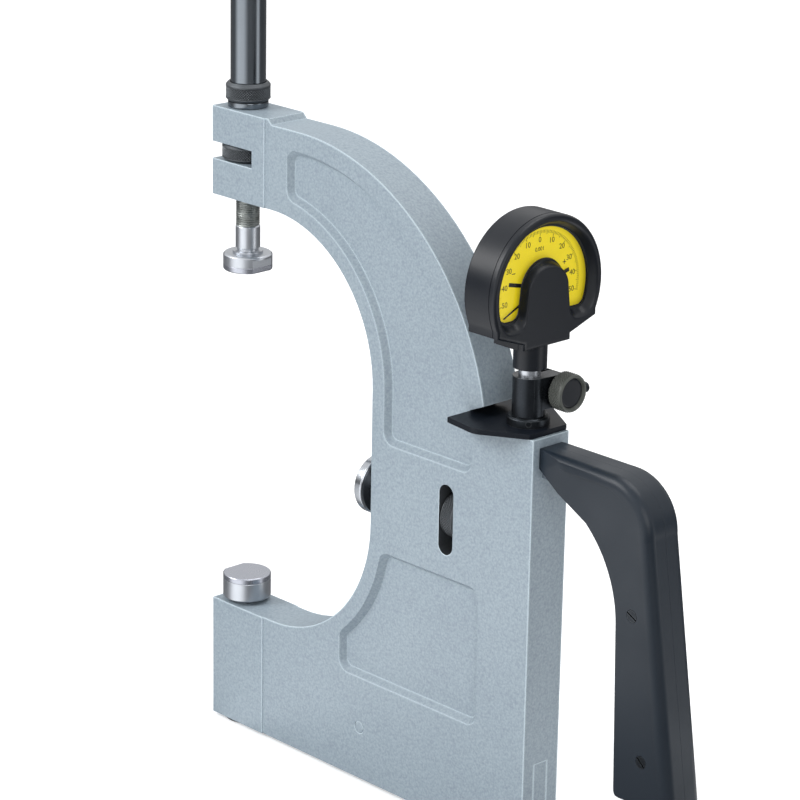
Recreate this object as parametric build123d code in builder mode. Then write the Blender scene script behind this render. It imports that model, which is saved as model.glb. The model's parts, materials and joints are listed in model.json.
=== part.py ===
from build123d import *
import os
from math import atan2, cos, degrees, radians, sin, sqrt

# Indicating snap gauge, millimetres. The origin is the centre of the lower anvil's measuring face,
# +Z is up along the measuring axis and +X points from the jaws to the comparator and the handle.

# Clearances
RUN = 0.03          # radial running fit
SEAT = 0.1          # all-round play of an inlaid piece
GAP = 0.15          # play between two hardened contact faces

# Frame casting
BODY_T = 18.0       # thickness
JAW_T = 19.0        # thickness over the machined jaws
FRONT_X = -9.8
BACK_X = 165.2
BASE_Z = -61.2
JAW_GAP = 167.0     # between the jaw faces
JAW_DROP = 11.4     # from the lower measuring face to the jaw face
JAW_PAD_L = 30.0    # length of the machined sides
JAW_TOP_L = 31.5    # length of the land on the upper jaw
JAW_TOP_H = 34.8    # height of the upper jaw
LAND_H = 2.0        # height of that land above the casting
THROAT_X = 81.5
THROAT_TOP_R = 57.3
THROAT_LOW_R = 56.2
OUTER_R = 103.5
OUTER_X = 38.6
SEAT_Z = 99.6       # seat of the comparator's clamp
NOTCH_X = 130.3     # front of the guard plate's undercut
NOTCH_ANGLE = 23.0

# Pockets in both sides of the casting
POCKET_D = 2.5
OUTER_RIM = 7.5
THROAT_RIM = 6.3
POCKET_R = 5.0
POCKET_TAPER = 40.0
HIGH_POCKET_X = 32.6
HIGH_POCKET_Z = 78.6
LOW_POCKET_X = (64.8, 139.8)
LOW_POCKET_Z = (-19.3, 35.6)

# Sensitive anvil, lever and push rod
ANVIL_R = 9.6
ANVIL_FLAT = 8.4    # from the axis to the anvils' flats
TIP_H = 2.3
HEAD_PLAY = 0.15    # between the pressed anvil's head and the jaw
STEM_R = 4.8
NOSE_R = 3.0        # thin lower end that reaches into the lever channel
NOSE_L = 4.6
TRAVEL = 1.13       # full sweep of the pointer
DIAL_X = 153.6      # comparator axis, twice the lever's pivot distance
CHANNEL_W = 7.0
CHANNEL_Z = -31.0
PIVOT_Z = -39.8
PIVOT_R = 2.5
LEVER_W = 6.2
LEVER_H = 8.0
PAD_H = 1.5
ROD_R = 2.5
ROD_TOP = 86.5
BUSH_WALL = 2.0
LOW_BUSH_L = 14.0
HIGH_BUSH_L = 12.0
COVER_T = 3.0
COVER_W = 16.0
PLUG_R = 8.75
PLUG_BODY_R = 7.0
PLUG_H = 8.0
PLUG_PROUD = 1.5
COVER_SCREW_R = 1.0
COVER_SCREW_L = 8.0
COVER_SCREW_IN = 10.0   # from the cover's ends

# Adjustable anvil
OPENING = 126.0
REACH = 86.0        # length of the spindle
HEAD_CLEAR = 1.0    # between the raised anvil's head and the jaw
GROUND_L = 11.0     # its plain part above the anvil
SPINDLE_HEAD_H = 4.3
HEAD_RIM = 1.3      # round rim above the spanner flats
SLIT_H = 6.7        # notch for the adjusting nut
SLIT_X = 13.0
SLIT_DROP = 14.0    # from the top of the jaw to the notch
NUT_R = 10.0
NUT_PLAY = 0.3
NECK_R = 7.8
NECK_H = 2.4
TUBE_R = 6.8
TUBE_WALL = 1.5
TUBE_TOP = 268.0
SPIGOT_PLAY = 1.3   # between the tube's spigot and the notch
CAP_H = 4.0
COLLAR_R = 8.6
COLLAR_H = 7.3
KEY_W = 3.0
KEY_PLAY = 0.5      # below the key at the top of the travel

# Work stop
STOP_Z = 57.8
STOP_X = 74.2       # its face
STOP_R = 11.5
STOP_FACE_T = 4.2
STOP_BACK_T = 2.6
STOP_ROD_R = 4.0
STOP_ROD_END = 144.3
STOP_BORE_END = 146.5
STOP_OUT = 20.0     # travel towards the anvils
STOP_IN = 0.4
GUIDE_X = 94.0      # pin that keeps the rod from turning
GUIDE_R = 1.0
GUIDE_D = 1.2
SLOT_X = 121.9
SLOT_W = 7.4
SLOT_H = 27.3
STOP_NUT_R = 9.3
STOP_NUT_W = 6.8

# Guard plate, ring and clamp
PLATE_T = 2.0
PLATE_W = 40.4
PLATE_BEND = 15.7   # from the notch to the plate's widest place
RING_R = 7.8
RING_H = 3.3
SLEEVE_R = 6.1
SLEEVE_TOP = 119.6
SLEEVE_LOW = 90.5
GAUGE_STEM_R = 4.0
EAR_H = 12.0
SCREW_Y = 9.2
EAR_FRONT = 6.8
EAR_BACK = 4.5
CLAMP_R = 2.0
KNOB_R = 7.3
KNOB_L = 6.3
KNOB_PIN_R = 2.0
KNOB_PIN_PROUD = 2.7

# Comparator
DIAL_Z = 152.7
CASE_R = 27.3
CASE_BACK = 6.9     # behind the stem axis
CASE_FRONT = 8.4    # in front of it
MASK_T = 3.0
CASE_WALL = 2.0
LEDGE_W = 1.2
CHIN_Z = 20.6
CHIN_W = 12.0
CASE_NECK_R = 6.15
CASE_NECK_H = 9.5
BACK_PLATE_T = 1.5
BACK_PLATE_IN = 5.0
BACK_SCREW_R = 0.8
BACK_SCREW_HEAD_R = 1.4
BACK_SCREW_HEAD_H = 0.6
BACK_SCREW_IN = 3.8     # from the back plate's rim
WINDOW_R = 22.2
TONGUE_R = 11.0
LOBE_Z = 9.3
LOBE_R = 3.6
LENS_T = 0.8
DIAL_T = 0.8
DIAL_SEAT = 0.6     # the dial's back face, in front of the stem axis
PLUNGER_R = 2.0
ARBOR_R = 0.6
POINTER_REST = 115.0
PINION_TEETH = 12
SECTOR_TEETH = 110  # of the full circle
MODULE = 0.25
POINTER_L = 19.8
MARKER_L = 15.4
MARKER_HUB_R = 3.5
MARKER_T = 0.5
HAND_PLAY = 0.3     # between the hands, and above the highest marker

# Handle
GRIP_T = 17.6
ROOT_GAP = 0.3
ROOT_W = 12.0
ARM_TOP = 96.2
ARM_ROOT_Z = 88.5
GRIP_LOW = -24.0
GRIP_IN_X = 208.9   # at the foot
GRIP_OUT_X = 236.8
BEND_X = 201.0       # where the arm bends down into the grip
BEND_OUT = 20.2
BEND_DROP = 20.0
PALM_DROP = 54.0     # from the arm's top to the palm's curve
PALM_IN = 2.2
WEB_X = 190.5        # where the palm's curve meets the arm's underside
WEB_DROP = 20.6
BEAD_W = 4.2
BEAD_H = 0.8
BEAD_R = 4.0
FOOT_R = 4.0
ROOT_L = 16.0       # length over which the grip narrows towards the frame
CORE_T = 8.0
CORE_IN = 4.0
CORE_NECK_L = 14.0
TENON_L = 4.0
MOUNT_R = 1.0        # screws from the seat into the tenon
MOUNT_IN = 2.2
MOUNT_Y = 2.2
GRIP_SCREWS = ((214.1, 47.4), (221.2, -5.8))
GRIP_SCREW_R = 2.4

lower_jaw_z = -JAW_DROP
upper_jaw_z = lower_jaw_z + JAW_GAP
top_z = upper_jaw_z + JAW_TOP_H
slit_z = top_z - SLIT_DROP - SLIT_H
spigot_l = SLIT_DROP - SPIGOT_PLAY
outer_z = top_z - LAND_H - OUTER_R
throat_top = (THROAT_X - THROAT_TOP_R, upper_jaw_z - THROAT_TOP_R)
throat_low = (THROAT_X - THROAT_LOW_R, lower_jaw_z + THROAT_LOW_R)
pivot_x = DIAL_X / 2
head_h = JAW_DROP - TIP_H - TRAVEL - HEAD_PLAY
half_t = BODY_T / 2


def level(z):
    return Plane.XY.offset(z)


def across(x):
    return Plane.YZ.offset(x)


def side(y):
    return Plane.XZ.offset(-y)


def circle_hit(start, angle, centre, radius):
    """Point where a ray from start at angle leaves the circle."""
    step = (cos(radians(angle)), sin(radians(angle)))
    rel = (start[0] - centre[0], start[1] - centre[1])
    along = rel[0] * step[0] + rel[1] * step[1]
    reach = -along + sqrt(along**2 - rel[0] ** 2 - rel[1] ** 2 + radius**2)
    return start[0] + reach * step[0], start[1] + reach * step[1]


# Frame: C-shaped casting, machined jaws, pockets, bores and the lever channel
notch_z = SEAT_Z + PLATE_T + ROOT_GAP
notch_end = circle_hit((NOTCH_X, notch_z), NOTCH_ANGLE, (OUTER_X, outer_z), OUTER_R)
arc_angle = (90 + degrees(atan2(notch_end[1] - outer_z, notch_end[0] - OUTER_X))) / 2
arc_mid = (OUTER_X + OUTER_R * cos(radians(arc_angle)), outer_z + OUTER_R * sin(radians(arc_angle)))
anvil_bush_r = STEM_R + BUSH_WALL
rod_bush_r = ROD_R + BUSH_WALL
stem_low = PIVOT_Z + LEVER_H / 2 + PAD_H + GAP
cover_x = PLUG_R + 0.5
cover_end = BACK_X - COVER_T
screw_y = (COVER_W + CHANNEL_W) / 4
screw_spots = [(cover_x + COVER_SCREW_IN + i * (cover_end - cover_x - 2 * COVER_SCREW_IN) / 2, y)
               for i in range(3) for y in (-screw_y, screw_y)]
tenon_z = (ARM_ROOT_Z - 4, ARM_TOP - CORE_IN + 1)
mount_spots = [(BACK_X - MOUNT_IN, y) for y in (-MOUNT_Y, MOUNT_Y)]

with BuildPart() as frame:
    with BuildSketch(side(0)):
        with BuildLine():
            Polyline((OUTER_X, top_z - LAND_H), (FRONT_X, top_z - LAND_H), (FRONT_X, upper_jaw_z),
                     (throat_top[0], upper_jaw_z))
            CenterArc(throat_top, THROAT_TOP_R, 90, -90)
            Line((THROAT_X, throat_top[1]), (THROAT_X, throat_low[1]))
            CenterArc(throat_low, THROAT_LOW_R, 0, -90)
            Polyline((throat_low[0], lower_jaw_z), (FRONT_X, lower_jaw_z), (FRONT_X, BASE_Z),
                     (BACK_X, BASE_Z), (BACK_X, SEAT_Z), (NOTCH_X, SEAT_Z), (NOTCH_X, notch_z),
                     notch_end)
            ThreePointArc(notch_end, arc_mid, (OUTER_X, top_z - LAND_H))
        make_face()
    extrude(amount=half_t, both=True)
    with BuildSketch(side(0)):
        with BuildLine():
            land_end = FRONT_X + JAW_TOP_L
            Polyline((FRONT_X, upper_jaw_z), (FRONT_X, top_z), (land_end, top_z),
                     (land_end + LAND_H, top_z - LAND_H), (land_end, upper_jaw_z), close=True)
        make_face()
    extrude(amount=half_t, both=True)
    with BuildSketch(side(0)):
        with Locations((FRONT_X, BASE_Z)):
            Rectangle(JAW_PAD_L, lower_jaw_z - BASE_Z, align=(Align.MIN, Align.MIN))
        with Locations((FRONT_X, upper_jaw_z)):
            Rectangle(JAW_PAD_L, JAW_TOP_H, align=(Align.MIN, Align.MIN))
    extrude(amount=JAW_T / 2, both=True)
    for y in (-half_t, half_t):
        with BuildSketch(side(y)) as high_pocket:
            with Locations((OUTER_X, outer_z)):
                Circle(OUTER_R - OUTER_RIM)
            with Locations((HIGH_POCKET_X, HIGH_POCKET_Z)):
                Rectangle(BACK_X, OUTER_R * 2, align=(Align.MIN, Align.MIN), mode=Mode.INTERSECT)
            with Locations(throat_top):
                Circle(THROAT_TOP_R + THROAT_RIM, mode=Mode.SUBTRACT)
                Rectangle(THROAT_TOP_R + THROAT_RIM, THROAT_TOP_R, align=(Align.MIN, Align.MAX),
                          mode=Mode.SUBTRACT)
            fillet(high_pocket.vertices().filter_by(lambda v: abs(v.Y - throat_top[1]) > 1), POCKET_R)
        with BuildSketch(side(y)) as low_pocket:
            with Locations((LOW_POCKET_X[0], LOW_POCKET_Z[0])):
                Rectangle(LOW_POCKET_X[1] - LOW_POCKET_X[0], LOW_POCKET_Z[1] - LOW_POCKET_Z[0],
                          align=(Align.MIN, Align.MIN))
            with Locations(throat_low):
                Circle(THROAT_LOW_R + THROAT_RIM, mode=Mode.SUBTRACT)
            fillet(low_pocket.vertices(), POCKET_R)
        extrude(amount=POCKET_D if y > 0 else -POCKET_D, taper=POCKET_TAPER, mode=Mode.SUBTRACT)
    with BuildSketch(side(0)):
        with Locations((SLOT_X, STOP_Z)):
            SlotOverall(SLOT_H, SLOT_W, rotation=90)
        with Locations((FRONT_X, slit_z)):
            Rectangle(SLIT_X - FRONT_X, SLIT_H, align=(Align.MIN, Align.MIN))
    extrude(amount=JAW_T, both=True, mode=Mode.SUBTRACT)
    with BuildSketch(side(0)):
        with Locations((pivot_x, PIVOT_Z)):
            Circle(PIVOT_R)
    extrude(amount=JAW_T, both=True, mode=Mode.SUBTRACT)
    # lever channel, with rebates for its two covers
    with BuildSketch(side(0)):
        with Locations((-PLUG_BODY_R, BASE_Z)):
            Rectangle(BACK_X + PLUG_BODY_R, CHANNEL_Z - BASE_Z, align=(Align.MIN, Align.MIN))
    extrude(amount=CHANNEL_W / 2, both=True, mode=Mode.SUBTRACT)
    with BuildSketch(side(0)):
        with Locations((cover_x, BASE_Z)):
            Rectangle(BACK_X - COVER_T - cover_x, COVER_T, align=(Align.MIN, Align.MIN))
    extrude(amount=COVER_W / 2, both=True, mode=Mode.SUBTRACT)
    with BuildSketch(side(0)):
        with Locations((BACK_X - COVER_T, BASE_Z)):
            Rectangle(COVER_T, CHANNEL_Z + 4 - BASE_Z, align=(Align.MIN, Align.MIN))
    extrude(amount=CHANNEL_W / 2, both=True, mode=Mode.SUBTRACT)
    with BuildSketch(level(BASE_Z)):
        with Locations(*screw_spots):
            Circle(COVER_SCREW_R)
    extrude(amount=COVER_SCREW_L, mode=Mode.SUBTRACT)
    # bores on the measuring axis
    with BuildSketch(level(BASE_Z)):
        Circle(PLUG_BODY_R)
    extrude(amount=PLUG_H + 5, mode=Mode.SUBTRACT)
    with BuildSketch(level(CHANNEL_Z)):
        Circle(anvil_bush_r)
    extrude(amount=lower_jaw_z - CHANNEL_Z, mode=Mode.SUBTRACT)
    with BuildSketch(level(upper_jaw_z)):
        Circle(anvil_bush_r)
    extrude(amount=slit_z - upper_jaw_z, mode=Mode.SUBTRACT)
    with BuildSketch(level(top_z)):
        Circle(TUBE_R)
    extrude(amount=-spigot_l, mode=Mode.SUBTRACT)
    with BuildSketch(level(slit_z)):
        Circle(STEM_R + 1)
    extrude(amount=top_z - slit_z, mode=Mode.SUBTRACT)
    # bores on the comparator's axis
    with BuildSketch(level(CHANNEL_Z)):
        with Locations((DIAL_X, 0)):
            Circle(ROD_R + 0.8)
    extrude(amount=SEAT_Z - CHANNEL_Z, mode=Mode.SUBTRACT)
    with BuildSketch(level(CHANNEL_Z)):
        with Locations((DIAL_X, 0)):
            Circle(rod_bush_r)
    extrude(amount=LOW_BUSH_L, mode=Mode.SUBTRACT)
    with BuildSketch(level(SEAT_Z)):
        with Locations((DIAL_X, 0)):
            Circle(rod_bush_r)
    extrude(amount=ROD_TOP - 2 - HIGH_BUSH_L - SEAT_Z, mode=Mode.SUBTRACT)
    with BuildSketch(level(SEAT_Z)):
        with Locations((DIAL_X, 0)):
            Circle(SLEEVE_R)
    extrude(amount=SLEEVE_LOW - SEAT_Z, mode=Mode.SUBTRACT)
    # bore of the work stop and mortise of the handle
    with BuildSketch(across(THROAT_X)):
        with Locations((0, STOP_Z)):
            Circle(STOP_ROD_R + RUN)
    extrude(amount=STOP_BORE_END - THROAT_X, mode=Mode.SUBTRACT)
    with BuildSketch(across(BACK_X)):
        with Locations((0, sum(tenon_z) / 2)):
            Rectangle(CORE_T, tenon_z[1] - tenon_z[0])
    extrude(amount=-TENON_L, mode=Mode.SUBTRACT)
    with BuildSketch(level(SEAT_Z)):
        with Locations(*mount_spots):
            Circle(MOUNT_R)
    extrude(amount=tenon_z[1] - SEAT_Z, mode=Mode.SUBTRACT)
    with BuildSketch(side(half_t)):
        with Locations((GUIDE_X, STOP_Z)):
            Circle(GUIDE_R)
    extrude(amount=half_t, mode=Mode.SUBTRACT)


def anvil_outline(*flats):
    """Anvil disc with a flat on each given side, -1 facing away from the comparator."""
    with BuildSketch(mode=Mode.PRIVATE) as outline:
        Circle(ANVIL_R)
        for hand in flats:
            with Locations((hand * (ANVIL_FLAT + ANVIL_R), 0)):
                Rectangle(2 * ANVIL_R, 2 * ANVIL_R, mode=Mode.SUBTRACT)
    return outline.sketch


# Sensitive anvil and what carries it
with BuildPart() as anvil_tip:
    with BuildSketch(level(-TIP_H)):
        add(anvil_outline(-1))
    extrude(amount=TIP_H)
    chamfer(anvil_tip.edges().group_by(Axis.Z)[-1], 0.4)

with BuildPart() as anvil_stem:
    with BuildSketch(level(-TIP_H)):
        add(anvil_outline(-1))
    extrude(amount=-head_h)
    chamfer(anvil_stem.edges().group_by(Axis.Z)[0], 0.6)
    with BuildSketch(level(stem_low + NOSE_L)):
        Circle(STEM_R)
    extrude(amount=-TIP_H - head_h - stem_low - NOSE_L)
    with BuildSketch(level(stem_low)):
        Circle(NOSE_R)
    extrude(amount=NOSE_L)

with BuildPart() as lower_guide_bush:
    with BuildSketch(level(CHANNEL_Z)):
        Circle(anvil_bush_r)
        Circle(STEM_R + RUN, mode=Mode.SUBTRACT)
    extrude(amount=lower_jaw_z - CHANNEL_Z)

with BuildPart() as spring_plug:
    with BuildSketch(level(BASE_Z - PLUG_PROUD)):
        Circle(PLUG_R)
    extrude(amount=PLUG_PROUD)
    chamfer(spring_plug.edges().group_by(Axis.Z)[0], 0.5)
    with BuildSketch(level(BASE_Z)):
        Circle(PLUG_BODY_R)
    extrude(amount=PLUG_H)

spring_low = BASE_Z + PLUG_H
spring_high = PIVOT_Z - LEVER_H / 2 - GAP
with BuildPart() as anvil_spring:
    with BuildLine() as coil:
        Helix((spring_high - spring_low - 1) / 3.5, spring_high - spring_low - 1, 2.4,
              center=(0, 0, spring_low + 0.5))
    with BuildSketch(Plane(origin=coil.line @ 0, z_dir=coil.line % 0)):
        Circle(0.45)
    sweep(path=coil.line, is_frenet=True)

with BuildPart() as lever_pivot_pin:
    with BuildSketch(side(-half_t)):
        with Locations((pivot_x, PIVOT_Z)):
            Circle(PIVOT_R)
    extrude(amount=-BODY_T)
    chamfer(lever_pivot_pin.edges(), 0.3)

with BuildPart() as rocker_lever:
    with BuildSketch(side(0)) as lever_side:
        with Locations((pivot_x, PIVOT_Z)):
            SlotOverall(DIAL_X + LEVER_H, LEVER_H)
            Circle(LEVER_H * 0.8)
            Circle(PIVOT_R + RUN, mode=Mode.SUBTRACT)
    extrude(amount=LEVER_W / 2, both=True)

with BuildPart() as rocker_pads:
    with BuildSketch(level(PIVOT_Z + LEVER_H / 2)):
        with Locations((0, 0), (DIAL_X, 0)):
            Circle(LEVER_W / 2 - 0.6)
    extrude(amount=PAD_H)
    chamfer(rocker_pads.edges().group_by(Axis.Z)[-1], 0.4)

with BuildPart() as push_rod:
    with BuildSketch(level(stem_low)):
        with Locations((DIAL_X, 0)):
            Circle(ROD_R)
    extrude(amount=ROD_TOP - stem_low)
    chamfer(push_rod.edges().group_by(Axis.Z)[0] + push_rod.edges().group_by(Axis.Z)[-1], 0.4)

with BuildPart() as rod_bushes:
    for low, length in ((CHANNEL_Z, LOW_BUSH_L), (ROD_TOP - 2 - HIGH_BUSH_L, HIGH_BUSH_L)):
        with BuildSketch(level(low)):
            with Locations((DIAL_X, 0)):
                Circle(rod_bush_r)
                Circle(ROD_R + RUN, mode=Mode.SUBTRACT)
        extrude(amount=length)

# Covers of the lever channel
with BuildPart() as base_cover:
    with BuildSketch(level(BASE_Z)):
        with Locations((cover_x + SEAT, 0)):
            Rectangle(cover_end - cover_x - 2 * SEAT, COVER_W - 2 * SEAT, align=(Align.MIN, Align.CENTER))
    extrude(amount=COVER_T)
    with Locations(Plane.XY.offset(BASE_Z).rotated((180, 0, 0))):
        with Locations(*[(x, -y) for x, y in screw_spots]):
            CounterSinkHole(COVER_SCREW_R + SEAT, 2 * COVER_SCREW_R, depth=COVER_T)

with BuildPart() as base_cover_screws:
    for x, y in screw_spots:
        with Locations((x, y, BASE_Z)):
            Cone(2 * COVER_SCREW_R - SEAT, COVER_SCREW_R, COVER_SCREW_R - SEAT,
                 align=(Align.CENTER, Align.CENTER, Align.MIN))
            Cylinder(COVER_SCREW_R, COVER_SCREW_L, align=(Align.CENTER, Align.CENTER, Align.MIN))

with BuildPart() as rear_cover:
    with BuildSketch(across(cover_end)):
        with Locations((0, BASE_Z)):
            Rectangle(CHANNEL_W - 2 * SEAT, CHANNEL_Z + 4 - BASE_Z - SEAT, align=(Align.CENTER, Align.MIN))
    extrude(amount=COVER_T)

# Adjustable anvil
head_top = OPENING + TIP_H + SPINDLE_HEAD_H
key_low = upper_jaw_z - HEAD_CLEAR + GROUND_L + KEY_PLAY
with BuildPart() as upper_anvil_tip:
    with BuildSketch(level(OPENING)):
        add(anvil_outline(-1, 1))
    extrude(amount=TIP_H)
    chamfer(upper_anvil_tip.edges().group_by(Axis.Z)[0], 0.4)

with BuildPart() as upper_anvil:
    with BuildSketch(level(head_top)):
        Circle(ANVIL_R)
    extrude(amount=-HEAD_RIM)
    chamfer(upper_anvil.edges().group_by(Axis.Z)[-1], 0.6)
    with BuildSketch(level(OPENING + TIP_H)):
        add(anvil_outline(-1, 1))
    extrude(amount=SPINDLE_HEAD_H - HEAD_RIM)

with BuildPart() as spindle:
    with BuildSketch(level(head_top)):
        Circle(STEM_R)
    extrude(amount=REACH)
    with BuildSketch(level(head_top + GROUND_L)):
        with Locations((-STEM_R, 0)):
            Rectangle(KEY_W, KEY_W)
    extrude(amount=REACH, mode=Mode.SUBTRACT)

with BuildPart() as spindle_bush:
    with BuildSketch(level(upper_jaw_z)):
        Circle(anvil_bush_r)
        Circle(STEM_R + RUN, mode=Mode.SUBTRACT)
        with Locations((-STEM_R, 0)):
            Rectangle(KEY_W, KEY_W, mode=Mode.SUBTRACT)
    extrude(amount=slit_z - upper_jaw_z)

with BuildPart() as spindle_key:
    with BuildSketch(level(key_low)):
        with Locations((-STEM_R - SEAT, 0)):
            Rectangle(KEY_W - 2 * SEAT, KEY_W - 2 * SEAT)
    extrude(amount=slit_z - key_low)

with BuildPart() as adjusting_nut:
    with BuildSketch(level(slit_z + NUT_PLAY)):
        Circle(NUT_R)
        Circle(STEM_R + RUN, mode=Mode.SUBTRACT)
    extrude(amount=SLIT_H - 2 * NUT_PLAY)
    rims = adjusting_nut.edges().filter_by(GeomType.CIRCLE).filter_by(lambda e: e.radius > NUT_R - 0.1)
    chamfer(rims, 0.5)

with BuildPart() as spindle_tube:
    with BuildSketch(level(top_z)):
        Circle(NECK_R)
    extrude(amount=NECK_H)
    with BuildSketch(level(top_z - spigot_l)):
        Circle(TUBE_R)
    extrude(amount=TUBE_TOP - top_z + spigot_l)
    with BuildSketch(level(top_z - spigot_l)):
        Circle(TUBE_R - TUBE_WALL)
    extrude(amount=TUBE_TOP - top_z + spigot_l, mode=Mode.SUBTRACT)

with BuildPart() as tube_cap:
    with BuildSketch(level(TUBE_TOP)):
        Circle(TUBE_R)
    extrude(amount=CAP_H)
    fillet(tube_cap.edges().group_by(Axis.Z)[-1], 1.5)
    with BuildSketch(level(TUBE_TOP)):
        Circle(TUBE_R - TUBE_WALL)
    extrude(amount=-CAP_H)

with BuildPart() as lock_collar:
    with BuildSketch(level(top_z + NECK_H + RUN)):
        Circle(COLLAR_R)
        Circle(TUBE_R + RUN, mode=Mode.SUBTRACT)
    extrude(amount=COLLAR_H)
    outer = lock_collar.edges().filter_by(GeomType.CIRCLE).filter_by(lambda e: e.radius > COLLAR_R - 0.1)
    chamfer(outer, 1.0)

# Work stop
stop_face_end = STOP_X + STOP_FACE_T
stop_back_end = stop_face_end + STOP_BACK_T
with BuildPart() as stop_disc:
    with BuildSketch(across(STOP_X)):
        with Locations((0, STOP_Z)):
            Circle(STOP_R)
    extrude(amount=STOP_FACE_T)
    chamfer(stop_disc.edges().group_by(Axis.X)[0], 0.4)

with BuildPart() as stop_backing:
    with BuildSketch(side(0)):
        with BuildLine():
            Polyline((stop_face_end, STOP_Z + STOP_ROD_R), (stop_face_end, STOP_Z + STOP_R - 0.4),
                     (stop_face_end + 1, STOP_Z + STOP_R - 0.4), (stop_back_end, STOP_Z + STOP_ROD_R + 2.5),
                     (stop_back_end, STOP_Z + STOP_ROD_R), close=True)
        make_face()
    revolve(axis=Axis((0, 0, STOP_Z), (1, 0, 0)))

with BuildPart() as stop_rod:
    with BuildSketch(across(stop_face_end)):
        with Locations((0, STOP_Z)):
            Circle(STOP_ROD_R)
    extrude(amount=STOP_ROD_END - stop_face_end)
    with BuildSketch(side(STOP_ROD_R - GUIDE_D)):
        with Locations((GUIDE_X + (STOP_OUT - STOP_IN) / 2, STOP_Z)):
            Rectangle(STOP_OUT + STOP_IN + 2 * (GUIDE_R + SEAT), 2 * (GUIDE_R + SEAT))
    extrude(amount=-GUIDE_D, mode=Mode.SUBTRACT)

with BuildPart() as stop_guide_pin:
    with BuildSketch(side(half_t)):
        with Locations((GUIDE_X, STOP_Z)):
            Circle(GUIDE_R)
    extrude(amount=half_t - STOP_ROD_R + GUIDE_D - SEAT)

with BuildPart() as stop_nut:
    with BuildSketch(across(SLOT_X - STOP_NUT_W / 2)):
        with Locations((0, STOP_Z)):
            Circle(STOP_NUT_R)
            Circle(STOP_ROD_R + RUN, mode=Mode.SUBTRACT)
    extrude(amount=STOP_NUT_W)
    rims = stop_nut.edges().filter_by(GeomType.CIRCLE).filter_by(lambda e: e.radius > STOP_NUT_R - 0.1)
    chamfer(rims, 0.5)

# Guard plate, ring and clamp of the comparator
plate_top = SEAT_Z + PLATE_T
with BuildPart() as guard_plate:
    with BuildSketch(level(SEAT_Z)) as plate:
        with BuildLine():
            half = [(NOTCH_X + 0.7, PLATE_W / 2 - 2.2), (NOTCH_X + PLATE_BEND, PLATE_W / 2),
                    (BACK_X - 1.2, half_t + 0.3)]
            Polyline(*half, *[(x, -y) for x, y in reversed(half)], close=True)
        make_face()
        fillet(plate.vertices().group_by(Axis.X)[0], 1.2)
        fillet(plate.vertices().filter_by(lambda v: abs(v.Y) > PLATE_W / 2 - 1), 6)
        fillet(plate.vertices().group_by(Axis.X)[-1], 1.5)
        with Locations((DIAL_X, 0)):
            Circle(SLEEVE_R + SEAT, mode=Mode.SUBTRACT)
    extrude(amount=PLATE_T)

with BuildPart() as ring_nut:
    with BuildSketch(level(plate_top)):
        with Locations((DIAL_X, 0)):
            Circle(RING_R)
            Circle(SLEEVE_R, mode=Mode.SUBTRACT)
    extrude(amount=RING_H)
    top_rim = ring_nut.edges().group_by(Axis.Z)[-1].sort_by(SortBy.RADIUS)[-1]
    chamfer(top_rim, 0.6)
    for angle in (-45, 135):
        with Locations(Location((DIAL_X, 0, plate_top + RING_H / 2), (0, 0, angle))):
            with Locations(Location((SLEEVE_R + 1.2, 0, 0), (0, 90, 0))):
                Cylinder(1.0, 4, align=(Align.CENTER, Align.CENTER, Align.MIN), mode=Mode.SUBTRACT)

clamp_z = SLEEVE_TOP - EAR_H / 2
ear_low = SLEEVE_TOP - EAR_H
ear_tip = DIAL_X + EAR_FRONT
with BuildPart() as clamp_sleeve:
    with BuildSketch(level(ear_low)):
        with BuildLine():
            Polyline((DIAL_X + 5.4, -2.9), (ear_tip, 5.5), (ear_tip, SCREW_Y + EAR_H / 2),
                     (DIAL_X - EAR_BACK, SCREW_Y + EAR_H / 2), (DIAL_X - EAR_BACK, 0), (DIAL_X, 0), close=True)
        make_face()
    extrude(amount=EAR_H)
    with BuildSketch(across(DIAL_X)):
        with Locations((SCREW_Y, clamp_z)):
            Circle(EAR_H / 2)
            Rectangle(SCREW_Y + 4, EAR_H, align=(Align.MAX, Align.CENTER))
    extrude(amount=EAR_FRONT + 1, both=True, mode=Mode.INTERSECT)
    with BuildSketch(level(SLEEVE_LOW)):
        with Locations((DIAL_X, 0)):
            Circle(SLEEVE_R)
    extrude(amount=SLEEVE_TOP - SLEEVE_LOW)
    with BuildSketch(level(SLEEVE_LOW)):
        with Locations((DIAL_X, 0)):
            Circle(GAUGE_STEM_R + RUN)
    extrude(amount=SLEEVE_TOP - SLEEVE_LOW, mode=Mode.SUBTRACT)
    with BuildSketch(level(ear_low - 0.6)):
        with Locations((DIAL_X, GAUGE_STEM_R - 0.6)):
            Rectangle(1.2, SCREW_Y + EAR_H, align=(Align.CENTER, Align.MIN))
    extrude(amount=EAR_H + 2, mode=Mode.SUBTRACT)
    with BuildSketch(across(DIAL_X - EAR_BACK)):
        with Locations((SCREW_Y, clamp_z)):
            Circle(CLAMP_R + RUN)
    extrude(amount=EAR_BACK + EAR_FRONT, mode=Mode.SUBTRACT)

with BuildPart() as clamp_screw:
    with BuildSketch(across(DIAL_X - EAR_BACK)):
        with Locations((SCREW_Y, clamp_z)):
            Circle(CLAMP_R)
    extrude(amount=EAR_BACK + EAR_FRONT + 3)

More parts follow.
